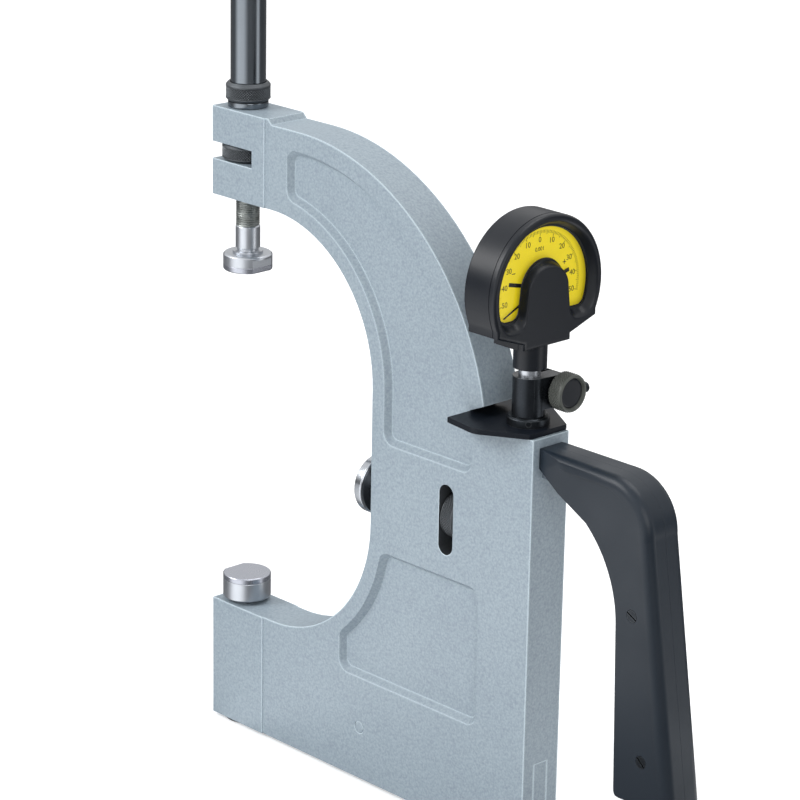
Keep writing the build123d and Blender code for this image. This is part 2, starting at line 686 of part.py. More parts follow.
with BuildPart() as clamp_knob:
    with BuildSketch(across(ear_tip + RUN)):
        with Locations((SCREW_Y, clamp_z)):
            Circle(KNOB_R)
    extrude(amount=KNOB_L)
    chamfer(clamp_knob.edges(), 0.5)
    with BuildSketch(across(ear_tip + RUN + KNOB_L)):
        with Locations((SCREW_Y, clamp_z)):
            Circle(KNOB_R - 1.6)
    extrude(amount=-0.8, mode=Mode.SUBTRACT)
    with BuildSketch(across(ear_tip)):
        with Locations((SCREW_Y, clamp_z)):
            Circle(CLAMP_R)
    extrude(amount=3, mode=Mode.SUBTRACT)
    with BuildSketch(side(SCREW_Y)):
        with Locations((ear_tip + KNOB_L / 2, clamp_z)):
            Circle(KNOB_PIN_R)
    extrude(amount=-KNOB_R, mode=Mode.SUBTRACT)

with BuildPart() as knob_pin:
    with BuildSketch(side(SCREW_Y + CLAMP_R + 0.2)):
        with Locations((ear_tip + KNOB_L / 2, clamp_z)):
            Circle(KNOB_PIN_R)
    extrude(amount=-(KNOB_R + KNOB_PIN_PROUD - CLAMP_R - 0.2))
    fillet(knob_pin.edges().group_by(Axis.Y)[-1], 0.8)

# Comparator
case_back = DIAL_X - CASE_BACK
mask_back = DIAL_X + CASE_FRONT - MASK_T
floor_back = case_back + BACK_PLATE_T
floor_front = floor_back + 1.5
dial_back = DIAL_X + DIAL_SEAT
back_plate_r = CASE_R - BACK_PLATE_IN
back_screw_ring = back_plate_r - BACK_SCREW_IN
chin = [(CASE_R - 2.4, -CASE_R / 2), (CHIN_W, 2.5 - CHIN_Z), (CHIN_W, -CHIN_Z)]


def case_outline(inset):
    """Round case cut off below, with a stepped chin, drawn about the dial's centre."""
    with BuildSketch(mode=Mode.PRIVATE) as outline:
        Circle(CASE_R)
        with Locations((0, chin[0][1])):
            Rectangle(3 * CASE_R, 2 * CASE_R, align=(Align.CENTER, Align.MAX), mode=Mode.SUBTRACT)
        with BuildLine():
            Polyline((-chin[0][0], chin[0][1] + 4), (chin[0][0], chin[0][1] + 4), *chin,
                     *[(-y, z) for y, z in reversed(chin)], close=True)
        make_face()
        if inset:
            offset(amount=-inset, kind=Kind.INTERSECTION)
    return outline.sketch


def dial_plane(x):
    return Plane(origin=(x, 0, DIAL_Z), x_dir=(0, 1, 0), z_dir=(1, 0, 0))


with BuildPart() as gauge_housing:
    with BuildSketch(dial_plane(case_back)):
        add(case_outline(0))
    extrude(amount=mask_back - case_back)
    fillet(gauge_housing.edges().group_by(Axis.X)[0], 0.8)
    with BuildSketch(level(DIAL_Z - CHIN_Z)):
        with Locations((DIAL_X, 0)):
            Circle(CASE_NECK_R)
    extrude(amount=-CASE_NECK_H)
    with BuildSketch(dial_plane(floor_front)):
        add(case_outline(CASE_WALL + LEDGE_W))
    extrude(amount=mask_back - floor_front, mode=Mode.SUBTRACT)
    with BuildSketch(dial_plane(dial_back)):
        add(case_outline(CASE_WALL))
    extrude(amount=mask_back - dial_back, mode=Mode.SUBTRACT)
    with BuildSketch(dial_plane(case_back)):
        Circle(back_plate_r)
    extrude(amount=BACK_PLATE_T, mode=Mode.SUBTRACT)
    with BuildSketch(dial_plane(floor_back)):
        with PolarLocations(back_screw_ring, 4, start_angle=45):
            Circle(BACK_SCREW_R)
    extrude(amount=1.0, mode=Mode.SUBTRACT)
    with BuildSketch(level(DIAL_Z - CHIN_Z - CASE_NECK_H)):
        with Locations((DIAL_X, 0)):
            Circle(GAUGE_STEM_R)
    extrude(amount=CASE_NECK_H + CASE_WALL - 1, mode=Mode.SUBTRACT)
    with BuildSketch(level(DIAL_Z - CHIN_Z)):
        with Locations((DIAL_X, 0)):
            Circle(PLUNGER_R + RUN)
    extrude(amount=CASE_WALL + LEDGE_W + 1, mode=Mode.SUBTRACT)
    with BuildSketch(dial_plane(floor_back)):
        Circle(ARBOR_R + RUN)
    extrude(amount=floor_front - floor_back, mode=Mode.SUBTRACT)

with BuildPart() as gauge_back_cover:
    with BuildSketch(dial_plane(case_back)):
        Circle(back_plate_r - SEAT)
        with PolarLocations(back_screw_ring, 4, start_angle=45):
            Circle(BACK_SCREW_R + SEAT, mode=Mode.SUBTRACT)
    extrude(amount=BACK_PLATE_T)
    with BuildSketch(dial_plane(case_back)):
        with PolarLocations(back_screw_ring, 4, start_angle=45):
            Circle(BACK_SCREW_HEAD_R + SEAT)
    extrude(amount=BACK_SCREW_HEAD_H, mode=Mode.SUBTRACT)

with BuildPart() as back_cover_screws:
    for radius, length in ((BACK_SCREW_HEAD_R, BACK_SCREW_HEAD_H), (BACK_SCREW_R, BACK_PLATE_T + 1)):
        with BuildSketch(dial_plane(case_back)):
            with PolarLocations(back_screw_ring, 4, start_angle=45):
                Circle(radius)
        extrude(amount=length)

with BuildPart() as gauge_stem:
    with BuildSketch(level(SEAT_Z - 3)):
        with Locations((DIAL_X, 0)):
            Circle(GAUGE_STEM_R)
            Circle(PLUNGER_R + RUN, mode=Mode.SUBTRACT)
    extrude(amount=DIAL_Z - CHIN_Z + CASE_WALL - 1 - SEAT_Z + 3)

with BuildPart() as gauge_mask:
    with BuildSketch(dial_plane(mask_back)):
        add(case_outline(0))
    extrude(amount=MASK_T)
    fillet(gauge_mask.edges().group_by(Axis.X)[-1], 1.2)
    with BuildSketch(dial_plane(mask_back)) as window:
        Circle(WINDOW_R)
        with Locations((0, -LOBE_Z)):
            Rectangle(3 * WINDOW_R, WINDOW_R, align=(Align.CENTER, Align.MAX), mode=Mode.SUBTRACT)
        Circle(TONGUE_R, mode=Mode.SUBTRACT)
        with BuildLine():
            Polyline((TONGUE_R, 0), (TONGUE_R + 1.2, -LOBE_Z), (-TONGUE_R - 1.2, -LOBE_Z), (-TONGUE_R, 0),
                     close=True)
        make_face(mode=Mode.SUBTRACT)
        fillet(window.vertices().filter_by(lambda v: v.Y < 1 - LOBE_Z), LOBE_R)
    extrude(amount=MASK_T, mode=Mode.SUBTRACT)

with BuildPart() as gauge_lens:
    with BuildSketch(dial_plane(mask_back - LENS_T)):
        add(case_outline(CASE_WALL + SEAT))
    extrude(amount=LENS_T)

with BuildPart() as dial_plate:
    with BuildSketch(dial_plane(dial_back)):
        add(case_outline(CASE_WALL + SEAT))
        Circle(ARBOR_R + 0.3, mode=Mode.SUBTRACT)
    extrude(amount=DIAL_T)
    with BuildSketch(dial_plane(dial_back + DIAL_T)):
        Circle(ARBOR_R + 0.9)
        Circle(ARBOR_R + 0.3, mode=Mode.SUBTRACT)
    extrude(amount=3 * HAND_PLAY + 2 * MARKER_T)

# Movement: plunger, toothed sector, pinion and pointer
pinion_r = MODULE * PINION_TEETH / 2
sector_r = MODULE * SECTOR_TEETH / 2
arm = TRAVEL / radians(2 * POINTER_REST) * SECTOR_TEETH / PINION_TEETH
centres = pinion_r + sector_r
sector_y = -arm
sector_z = -sqrt(centres**2 - arm**2)
post_reach = 8.0
contact_angle = degrees(atan2(-sector_z, -sector_y))
gear_x = floor_front + 0.6
gear_t = 1.2
bridge_x = gear_x + gear_t + 1.0
low_marker_x = dial_back + DIAL_T + HAND_PLAY
high_marker_x = low_marker_x + MARKER_T + HAND_PLAY
hub_end = high_marker_x + MARKER_T + HAND_PLAY
pointer_x = hub_end + HAND_PLAY


def tooth(root_w, tip_w):
    """Gear tooth profile standing along +X at the pitch circle."""
    with BuildSketch(mode=Mode.PRIVATE) as profile:
        with BuildLine():
            Polyline((-MODULE * 1.5, root_w / 2), (MODULE * 0.8, tip_w / 2), (MODULE * 0.8, -tip_w / 2),
                     (-MODULE * 1.5, -root_w / 2), close=True)
        make_face()
    return profile.sketch


with BuildPart() as pinion_arbor:
    with BuildSketch(dial_plane(floor_front - 1)):
        Circle(ARBOR_R)
    extrude(amount=pointer_x + 0.8 - floor_front + 1)
    with BuildSketch(dial_plane(gear_x - 0.2)):
        Circle(pinion_r - MODULE * 1.2)
        with PolarLocations(pinion_r, PINION_TEETH, start_angle=contact_angle + 180):
            add(tooth(0.3, 0.14))
    extrude(amount=gear_t + 0.4)

with BuildPart() as sector_lever:
    with BuildSketch(dial_plane(gear_x)):
        with Locations((sector_y, sector_z)):
            Circle(1.6)
            with PolarLocations(0, 1, start_angle=contact_angle - 11):
                with Locations((sector_r - 3, 0)):
                    Rectangle(sector_r - 3, 2.0, align=(Align.MAX, Align.CENTER))
        with BuildLine():
            pitch = 360 / SECTOR_TEETH
            low, high = contact_angle - 10 * pitch, contact_angle + 2 * pitch
            inner = CenterArc((sector_y, sector_z), sector_r - 4, low, high - low)
            rim = CenterArc((sector_y, sector_z), sector_r - MODULE * 1.3, low, high - low)
            Line(inner @ 0, rim @ 0)
            Line(inner @ 1, rim @ 1)
        make_face()
        with Locations((sector_y, sector_z)):
            with PolarLocations(sector_r, 11, start_angle=contact_angle - 9.5 * pitch,
                                angular_range=11 * pitch):
                add(tooth(0.34, 0.16))
        with Locations((sector_y, sector_z)):
            Rectangle(arm + 0.8, 1.2, align=(Align.MIN, Align.MIN))
        with Locations((sector_y, sector_z)):
            Circle(0.8 + RUN, mode=Mode.SUBTRACT)
    extrude(amount=gear_t)

plunger_top = DIAL_Z + sector_z - GAP
plunger_neck = DIAL_Z - CHIN_Z + CASE_WALL - TRAVEL - 2 * SEAT
blade_x = DIAL_X + DIAL_SEAT / 2
with BuildPart() as gauge_plunger:
    with BuildSketch(level(ROD_TOP + 2)):
        with Locations((DIAL_X, 0)):
            Circle(PLUNGER_R)
    extrude(amount=plunger_neck - ROD_TOP - 2)
    with BuildSketch(side(0)):
        with Locations((blade_x, plunger_neck)):
            Rectangle(PLUNGER_R, plunger_top - plunger_neck, align=(Align.MAX, Align.MIN))
        with Locations((blade_x, plunger_top)):
            Rectangle(blade_x - gear_x, 1.2, align=(Align.MAX, Align.MAX))
    extrude(amount=0.4, both=True)

with BuildPart() as plunger_tip:
    with BuildSketch(side(0)):
        with BuildLine():
            Polyline((DIAL_X, ROD_TOP + 2), (DIAL_X, ROD_TOP + GAP))
            ThreePointArc((DIAL_X, ROD_TOP + GAP), (DIAL_X + 1.1, ROD_TOP + GAP + 0.4),
                          (DIAL_X + 1.6, ROD_TOP + GAP + 1.4))
            Polyline((DIAL_X + 1.6, ROD_TOP + GAP + 1.4), (DIAL_X + 1.6, ROD_TOP + 2), (DIAL_X, ROD_TOP + 2))
        make_face()
    revolve(axis=Axis((DIAL_X, 0, 0), (0, 0, 1)))

with BuildPart() as movement_bridge:
    with BuildSketch(dial_plane(bridge_x)):
        with Locations(Location((sector_y, sector_z, 0), (0, 0, contact_angle))):
            with Locations(((centres + post_reach) / 2, 0)):
                SlotCenterToCenter(centres + post_reach, 3.6)
        Circle(ARBOR_R + RUN, mode=Mode.SUBTRACT)
    extrude(amount=1.2)
    with BuildSketch(dial_plane(floor_front)):
        with Locations((-sector_y * post_reach / centres, -sector_z * post_reach / centres)):
            Circle(1.8)
        with Locations((sector_y, sector_z)):
            Circle(0.8)
    extrude(amount=bridge_x - floor_front)

with BuildPart() as pointer:
    with BuildSketch(dial_plane(pointer_x)):
        Circle(2)
        Circle(ARBOR_R, mode=Mode.SUBTRACT)
        with BuildLine():
            tip = (-POINTER_L * sin(radians(POINTER_REST)), POINTER_L * cos(radians(POINTER_REST)))
            wide = (0.5 * cos(radians(POINTER_REST)), 0.5 * sin(radians(POINTER_REST)))
            start = (tip[0] * 1.2 / POINTER_L, tip[1] * 1.2 / POINTER_L)
            Polyline((start[0] + wide[0], start[1] + wide[1]), (tip[0] + wide[0] / 3, tip[1] + wide[1] / 3),
                     (tip[0] - wide[0] / 3, tip[1] - wide[1] / 3), (start[0] - wide[0], start[1] - wide[1]),
                     close=True)
        make_face()
    extrude(amount=0.4)

markers = []
for turn, x in ((77, low_marker_x), (-75, high_marker_x)):
    with BuildPart() as marker:
        with BuildSketch(dial_plane(x)):
            Circle(MARKER_HUB_R)
            with PolarLocations(0, 1, start_angle=90 + turn):
                with Locations((MARKER_HUB_R - 1, 0)):
                    Rectangle(MARKER_L - MARKER_HUB_R + 1, 1.4, align=(Align.MIN, Align.CENTER))
            Circle(ARBOR_R + 0.9 + RUN, mode=Mode.SUBTRACT)
        extrude(amount=MARKER_T)
    markers.append(marker)

slope = atan2(chin[0][1] - chin[1][1], chin[0][0] - chin[1][0])
screw_mid = ((chin[0][0] + chin[1][0]) / 2, DIAL_Z + (chin[0][1] + chin[1][1]) / 2)
fine_plane = Plane(origin=(mask_back - 2, *screw_mid), x_dir=(1, 0, 0), z_dir=(0, sin(slope), -cos(slope)))
with BuildPart() as fine_adjust_screw:
    with BuildSketch(fine_plane):
        Circle(1.4)
    extrude(amount=2.4)
    chamfer(fine_adjust_screw.edges().group_by(Axis.Z)[0], 0.3)

# Handle: steel core between two moulded halves
root_x = BACK_X + ROOT_GAP


def grip_outline():
    with BuildSketch(mode=Mode.PRIVATE) as outline:
        with BuildLine():
            top = Line((root_x, ARM_TOP), (BEND_X, ARM_TOP))
            bend = TangentArc(top @ 1, (BEND_X + BEND_OUT, ARM_TOP - BEND_DROP), tangent=top % 1)
            back = Line(bend @ 1, (GRIP_OUT_X, GRIP_LOW))
            foot = Line(back @ 1, (GRIP_IN_X, GRIP_LOW))
            inner = Line(foot @ 1, (GRIP_IN_X - PALM_IN, ARM_TOP - PALM_DROP))
            palm = TangentArc(inner @ 1, (WEB_X, ARM_TOP - WEB_DROP), tangent=inner % 1)
            Line(palm @ 1, (root_x, ARM_ROOT_Z))
            Line((root_x, ARM_ROOT_Z), (root_x, ARM_TOP))
        make_face()
    return outline.sketch


def core_outline(play):
    with BuildSketch(mode=Mode.PRIVATE) as outline:
        add(grip_outline())
        offset(amount=play - CORE_IN, kind=Kind.INTERSECTION)
        with Locations((BACK_X - TENON_L, sum(tenon_z) / 2)):
            Rectangle(CORE_NECK_L, tenon_z[1] - tenon_z[0] + 2 * play, align=(Align.MIN, Align.CENTER))
    return outline.sketch


with BuildPart() as handle_core:
    with BuildSketch(side(0)):
        add(core_outline(0))
        with Locations(*GRIP_SCREWS):
            Circle(GRIP_SCREW_R * 0.6 + SEAT, mode=Mode.SUBTRACT)
    extrude(amount=CORE_T / 2, both=True)
    with BuildSketch(level(ARM_ROOT_Z)):
        with Locations(*mount_spots):
            Circle(MOUNT_R)
    extrude(amount=tenon_z[1] - ARM_ROOT_Z, mode=Mode.SUBTRACT)

with BuildPart() as handle_mount_screws:
    with BuildSketch(level(ARM_ROOT_Z)):
        with Locations(*mount_spots):
            Circle(MOUNT_R)
    extrude(amount=SEAT_Z - SEAT - ARM_ROOT_Z)

shells = []
for hand in (-1, 1):
    with BuildPart() as shell:
        with BuildSketch(side(0)):
            add(grip_outline())
        extrude(amount=-hand * GRIP_T / 2)
        rim = shell.edges().filter_by(lambda e: abs(e.center().Y) > GRIP_T / 2 - 0.1)
        fillet(rim.filter_by(lambda e: e.center().Z > ARM_TOP - 0.1 or e.center().X > GRIP_IN_X + 4
                             and e.center().Z > GRIP_LOW + 1), BEAD_R)
        fillet(shell.edges().filter_by(Axis.Y).group_by(Axis.Z)[0], FOOT_R)
        with BuildSketch(side(hand * GRIP_T / 2)):
            add(grip_outline().moved(Location((-BEAD_W, -BEAD_W))))
        extrude(amount=hand * BEAD_H, mode=Mode.SUBTRACT)
        with BuildSketch(level(0)):
            with BuildLine():
                Polyline((root_x, hand * ROOT_W / 2), (root_x + ROOT_L, hand * GRIP_T / 2),
                         (root_x, hand * GRIP_T / 2), close=True)
            make_face()
        extrude(amount=2 * ARM_TOP, mode=Mode.SUBTRACT)
        with BuildSketch(side(0)):
            add(core_outline(SEAT))
        extrude(amount=-hand * (CORE_T / 2 + SEAT), mode=Mode.SUBTRACT)
        with BuildSketch(side(0)):
            with Locations(*GRIP_SCREWS):
                Circle(GRIP_SCREW_R * 0.6 if hand > 0 else GRIP_SCREW_R)
        extrude(amount=-hand * GRIP_T, mode=Mode.SUBTRACT)
    shells.append(shell)

with BuildPart() as handle_screws:
    with BuildSketch(side(-GRIP_T / 2 + BEAD_H)):
        with Locations(*GRIP_SCREWS):
            Circle(GRIP_SCREW_R - SEAT)
    extrude(amount=-2)
    with BuildSketch(side(-GRIP_T / 2 + BEAD_H + 2)):
        with Locations(*GRIP_SCREWS):
            Circle(GRIP_SCREW_R * 0.6)
    extrude(amount=-GRIP_T / 2 - 4)

pieces = {
    "frame": frame, "base_cover": base_cover, "base_cover_screws": base_cover_screws,
    "rear_cover": rear_cover, "spring_plug": spring_plug, "lower_guide_bush": lower_guide_bush,
    "lever_pivot_pin": lever_pivot_pin, "rod_bushes": rod_bushes, "anvil_spring": anvil_spring,
    "anvil_stem": anvil_stem, "anvil_tip": anvil_tip, "rocker_lever": rocker_lever,
    "rocker_pads": rocker_pads, "push_rod": push_rod, "upper_anvil_tip": upper_anvil_tip,
    "upper_anvil": upper_anvil, "spindle": spindle, "spindle_bush": spindle_bush,
    "spindle_key": spindle_key, "adjusting_nut": adjusting_nut, "spindle_tube": spindle_tube,
    "tube_cap": tube_cap, "lock_collar": lock_collar, "stop_disc": stop_disc,
    "stop_backing": stop_backing, "stop_rod": stop_rod, "stop_nut": stop_nut,
    "stop_guide_pin": stop_guide_pin,
    "guard_plate": guard_plate, "ring_nut": ring_nut, "clamp_sleeve": clamp_sleeve,
    "clamp_screw": clamp_screw, "clamp_knob": clamp_knob, "knob_pin": knob_pin,
    "gauge_housing": gauge_housing, "gauge_back_cover": gauge_back_cover, "gauge_stem": gauge_stem,
    "gauge_mask": gauge_mask, "gauge_lens": gauge_lens, "dial_plate": dial_plate,
    "pinion_arbor": pinion_arbor, "sector_lever": sector_lever, "gauge_plunger": gauge_plunger,
    "plunger_tip": plunger_tip, "movement_bridge": movement_bridge, "pointer": pointer,
    "marker_low": markers[0], "marker_high": markers[1], "fine_adjust_screw": fine_adjust_screw,
    "back_cover_screws": back_cover_screws, "handle_mount_screws": handle_mount_screws,
    "handle_core": handle_core, "handle_shell_near": shells[0], "handle_shell_far": shells[1],
    "handle_screws": handle_screws,
}
os.makedirs("parts", exist_ok=True)
for label, piece in pieces.items():
    piece.part.label = label
    export_step(piece.part, f"parts/{label}.step")
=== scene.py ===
"""Indicating snap gauge: finishes and fine shapes over its solids. An add-on in layout, run as a script."""
import json
from functools import partial
from math import acos, atan2, cos, pi, radians, sin, tau

import bmesh
import bpy
from bpy.props import FloatProperty, FloatVectorProperty, IntProperty, PointerProperty
from mathutils import Matrix, Vector
from mathutils.geometry import tessellate_polygon

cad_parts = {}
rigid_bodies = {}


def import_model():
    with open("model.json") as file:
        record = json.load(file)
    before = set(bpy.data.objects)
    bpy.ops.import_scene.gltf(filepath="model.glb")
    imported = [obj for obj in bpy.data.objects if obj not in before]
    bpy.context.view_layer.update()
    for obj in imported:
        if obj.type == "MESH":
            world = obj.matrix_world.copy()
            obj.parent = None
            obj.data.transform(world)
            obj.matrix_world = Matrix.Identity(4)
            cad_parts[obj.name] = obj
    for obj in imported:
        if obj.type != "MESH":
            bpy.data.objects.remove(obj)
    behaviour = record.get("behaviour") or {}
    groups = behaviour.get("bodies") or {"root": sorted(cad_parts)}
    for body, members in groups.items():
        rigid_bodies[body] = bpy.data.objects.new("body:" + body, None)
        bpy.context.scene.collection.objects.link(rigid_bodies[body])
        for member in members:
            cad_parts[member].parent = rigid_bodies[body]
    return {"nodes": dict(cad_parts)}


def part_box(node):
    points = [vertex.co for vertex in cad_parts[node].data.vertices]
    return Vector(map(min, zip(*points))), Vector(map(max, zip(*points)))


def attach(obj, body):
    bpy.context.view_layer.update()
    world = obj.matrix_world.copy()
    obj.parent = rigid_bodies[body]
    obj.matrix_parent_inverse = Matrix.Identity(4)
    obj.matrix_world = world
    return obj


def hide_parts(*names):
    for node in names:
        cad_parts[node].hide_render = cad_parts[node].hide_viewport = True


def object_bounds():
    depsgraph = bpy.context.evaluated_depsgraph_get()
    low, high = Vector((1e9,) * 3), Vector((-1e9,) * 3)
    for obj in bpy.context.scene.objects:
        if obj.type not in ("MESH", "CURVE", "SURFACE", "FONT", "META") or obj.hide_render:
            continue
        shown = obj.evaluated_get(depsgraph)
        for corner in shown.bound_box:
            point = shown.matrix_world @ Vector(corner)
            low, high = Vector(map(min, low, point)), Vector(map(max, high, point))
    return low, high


bl_info = {
    "name": "Indicating Snap Gauge",
    "version": (1, 0, 0),
    "blender": (4, 5, 0),
    "location": "View3D > Sidebar > Snap Gauge",
    "description": "Dresses the solids of an indicating snap gauge with its finishes and fine shapes",
    "category": "Object",
}

for leftover in list(bpy.data.objects):
    bpy.data.objects.remove(leftover)
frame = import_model()
cad_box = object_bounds()
nodes = frame["nodes"]
MM = 0.001

# Heights in millimetres
DIAL_CENTRE = 152.7
TUBE_TOP = 268.0

# Centres of the lathe lines, in metres, and their turn from an upright axis to one along X
STEM_AXIS = (0.155, 0, 0)
STOP_ROD_AXIS = (0.0733, 0, 0.059)
STOP_DISC_AXIS = (0.0742, 0, 0.0578)
MOVEMENT_AXIS = (0.155, 0, 0.155)
LEVEL = (0, radians(90), 0)


def linear(code):
    """Scene colour of an sRGB hex code."""
    levels = [int(code[i:i + 2], 16) / 255 for i in (1, 3, 5)]
    return tuple(c / 12.92 if c <= 0.04045 else ((c + 0.055) / 1.055) ** 2.4 for c in levels) + (1.0,)


def output_of(value):
    """A node's first output in use; any other value as it is."""
    if isinstance(value, bpy.types.Node):
        return next(socket for socket in value.outputs if socket.enabled)
    return value


def add_node(tree, kind, inputs=None, **settings):
    """Adds a node with its settings, and sets its inputs. A value that is a node or a socket is linked."""
    made = tree.nodes.new(kind)
    for name, value in settings.items():
        setattr(made, name, value)
    for socket, value in (inputs or {}).items():
        value = output_of(value)
        if isinstance(value, bpy.types.NodeSocket):
            tree.links.new(value, made.inputs[socket])
        else:
            made.inputs[socket].default_value = value
    return made


# Settings

def colour(name, text, code):
    """Setting for a colour, from its sRGB hex code."""
    return FloatVectorProperty(name=name, description=text, subtype="COLOR", size=4, min=0, max=1,
                               default=linear(code))


def length(name, text, millimetres):
    """Setting for a length."""
    return FloatProperty(name=name, description=text, subtype="DISTANCE", unit="LENGTH",
                         default=millimetres * MM, min=0, precision=5)


def rotation(name, text, degrees):
    """Setting for an angle."""
    return FloatProperty(name=name, description=text, subtype="ANGLE", unit="ROTATION",
                         default=radians(degrees))


class FinishSettings(bpy.types.PropertyGroup):
    enamel: colour("Frame enamel", "Hammered enamel on the casting", "#9AA8B1")
    enamel_dark: colour("Enamel hollows", "Colour in the hollows of the enamel", "#828F9B")
    # Painted highlight: the lighter colour of the enamel's edges that face up, where the light falls on
    # them.
    enamel_edge: colour("Enamel painted highlight", "Painted highlight along the enamel's edges that face up", "#CDDDE5")
    steel: colour("Ground steel", "Bare ground steel of the anvils", "#B4B8BE")
    carbide: colour("Carbide", "Lapped carbide of the measuring faces", "#A6A9B2")
    blackened: colour("Blackened steel", "Oiled black oxide", "#2A2E33")
    oiled: colour("Oiled thread", "Thread with its film of oil", "#8D918F")
    blued: colour("Polished oxide", "Black oxide on polished steel", "#747A80")
    # Also the pale line along the edges of black oxide, partly wear and partly a painted highlight, and the
    # dark walls of the stop's slot, which are painted shade.
    knurled: colour("Worn oxide", "Black oxide rubbed grey on knurling", "#54585C")
    lacquer: colour("Case lacquer", "Satin lacquer of the comparator", "#10151D")
    # The dial also glows in this colour: painted light that brightens it in its recess.
    dial: colour("Dial", "Yellow print of the dial", "#F8DE22")
    ink: colour("Ink", "Printing on the dial", "#17181A")
    grip: colour("Grip", "Moulded polyamide of the handle", "#1B242E")
    knob: colour("Knob", "Moulded phenolic of the clamp knob", "#565955")
    brass: colour("Brass", "Movement plates and wheels", "#B8964F")


class FineShapeSettings(bpy.types.PropertyGroup):
    casting_edge: length("Casting edge", "Rounding of the casting's edges", 0.7)
    machined_edge: length("Machined edge", "Rounding of machined edges", 0.25)
    handle_edge: length("Handle edge", "Rounding of the handle's edges", 1.2)
    knurl_pitch: length("Knurl pitch", "Width of one diamond of the knurling", 1.0)
    knurl_depth: length("Knurl depth", "Height of one diamond of the knurling", 0.3)
    thread_pitch: length("Thread pitch", "Pitch of the adjustable spindle", 0.8)
    window_bevel: length("Window bevel", "Width of the bevel around the dial's window", 3.0)
    lobe_bevel: length("End bevel", "Width of the bevel at the window's two ends", 4.2)
    tongue_bevel: length("Tongue bevel", "Width of the bevel beside the tongue", 1.3)


class DialSettings(bpy.types.PropertyGroup):
    divisions: IntProperty(name="Divisions", description="Graduations over the whole scale", default=100,
                           min=10)
    half_span: rotation("Half span", "Angle from zero to the last figure", 102.5)
    last_figure: IntProperty(name="Last figure", description="Number at both ends of the scale", default=50,
                             min=5)
    figure_radius: length("Figure radius", "Circle through the middle of the figures", 17.2)
    figure_height: length("Figure height", "Height of the figures", 2.0)
    tick_radius: length("Tick radius", "Outer ends of the graduations", 20.6)
    tick_length: length("Tick length", "Length of a short graduation", 1.1)
    tick_width: length("Tick width", "Width of a graduation", 0.16)


class StageSettings(bpy.types.PropertyGroup):
    azimuth: rotation("Azimuth", "Turn of the camera round the gauge", 46.33)
    elevation: rotation("Elevation", "Height of the camera above the horizon", 17.95)
    roll: rotation("Roll", "Turn of the camera about its own axis", 1.03)
    distance: length("Distance", "From the camera to the gauge", 1194)
    lens: FloatProperty(name="Lens", description="Focal length in millimetres on a 36 mm sensor",
                        default=143.7, min=1)
    floor: colour("Floor", "Pale floor and background", "#F4F5F6")


class GaugeSettings(bpy.types.PropertyGroup):
    finish: PointerProperty(type=FinishSettings, name="Finish", description="Colours of the finishes")
    shape: PointerProperty(type=FineShapeSettings, name="Shape", description="Fine sizes")
    dial: PointerProperty(type=DialSettings, name="Dial", description="Printing of the dial")
    stage: PointerProperty(type=StageSettings, name="Stage", description="Camera and floor")


# Materials

def new_material(name):
    """Material with an empty tree, and add_node for that tree."""
    material = bpy.data.materials.new(name)
    material.use_nodes = True
    material.node_tree.nodes.clear()
    return material, partial(add_node, material.node_tree)


def darker(tone, share):
    """Colour with a share of its light taken away."""
    return [c * (1 - share) for c in tone[:3]] + [1]


def edge_lines(add, width_mm, share, upward=None):
    """Mask that rises to share on a line of this width along the edges, or along those that face upward."""
    soft = add("ShaderNodeBevel", {"Radius": width_mm * MM}, samples=6)
    flat = add("ShaderNodeNewGeometry")
    along = add("ShaderNodeVectorMath", {0: soft, 1: flat.outputs["True Normal"]}, operation="DOT_PRODUCT")
    line = add("ShaderNodeMapRange", {"Value": along, "From Min": 0.99, "From Max": 0.9, "To Max": share})
    if upward:
        rise = add("ShaderNodeVectorMath", {0: soft, 1: upward}, operation="DOT_PRODUCT")
        faces_up = add("ShaderNodeMapRange", {"Value": rise, "From Min": 0.03, "From Max": 0.2})
        line = add("ShaderNodeMath", {0: line, 1: faces_up}, operation="MULTIPLY")
    return line


def hammered_enamel(settings):
    # Stoved hammer-effect enamel on cast iron: pale flecks about 0.8 mm wide with darker hollows between
    #  them, a satin gloss, and a painted highlight: a lighter line about 1 mm wide along the edges that
    #  face up, where the light catches them.
    material, add = new_material("Hammered enamel")
    place = add("ShaderNodeTexCoord").outputs["Object"]
    flecks = add("ShaderNodeTexNoise", {"Vector": place, "Scale": 1200.0, "Detail": 3.0, "Roughness": 0.65})
    cells = add("ShaderNodeTexVoronoi", {"Vector": place, "Scale": 900.0, "Smoothness": 1.0},
                feature="SMOOTH_F1")
    height = add("ShaderNodeMath", {0: cells, 1: 0.35, 2: flecks}, operation="MULTIPLY_ADD")
    cloud = add("ShaderNodeTexNoise", {"Vector": place, "Scale": 25.0, "Detail": 2.0})
    shade = add("ShaderNodeMath", {0: cloud, 1: 0.2, 2: height}, operation="MULTIPLY_ADD")
    fleck = add("ShaderNodeMapRange", {"Value": shade, "From Min": 0.55, "From Max": 1.0})
    tone = add("ShaderNodeMix", {"Factor": fleck, "A": settings.enamel, "B": settings.enamel_dark},
               data_type="RGBA")
    # Painted highlight: a lighter line along the edges that face up, standing in for the light they catch.
    thin = edge_lines(add, 1.1, 0.9, upward=(0.35, 0, 0.94))
    line = add("ShaderNodeMix", {"Factor": thin, "A": tone, "B": settings.enamel_edge}, data_type="RGBA")
    bump = add("ShaderNodeBump", {"Height": height, "Strength": 0.5, "Distance": 0.05 * MM}, invert=True)
    shader = add("ShaderNodeBsdfPrincipled", {"Base Color": line, "Roughness": 0.45, "Normal": bump})
    add("ShaderNodeOutputMaterial", {"Surface": shader})
    return material


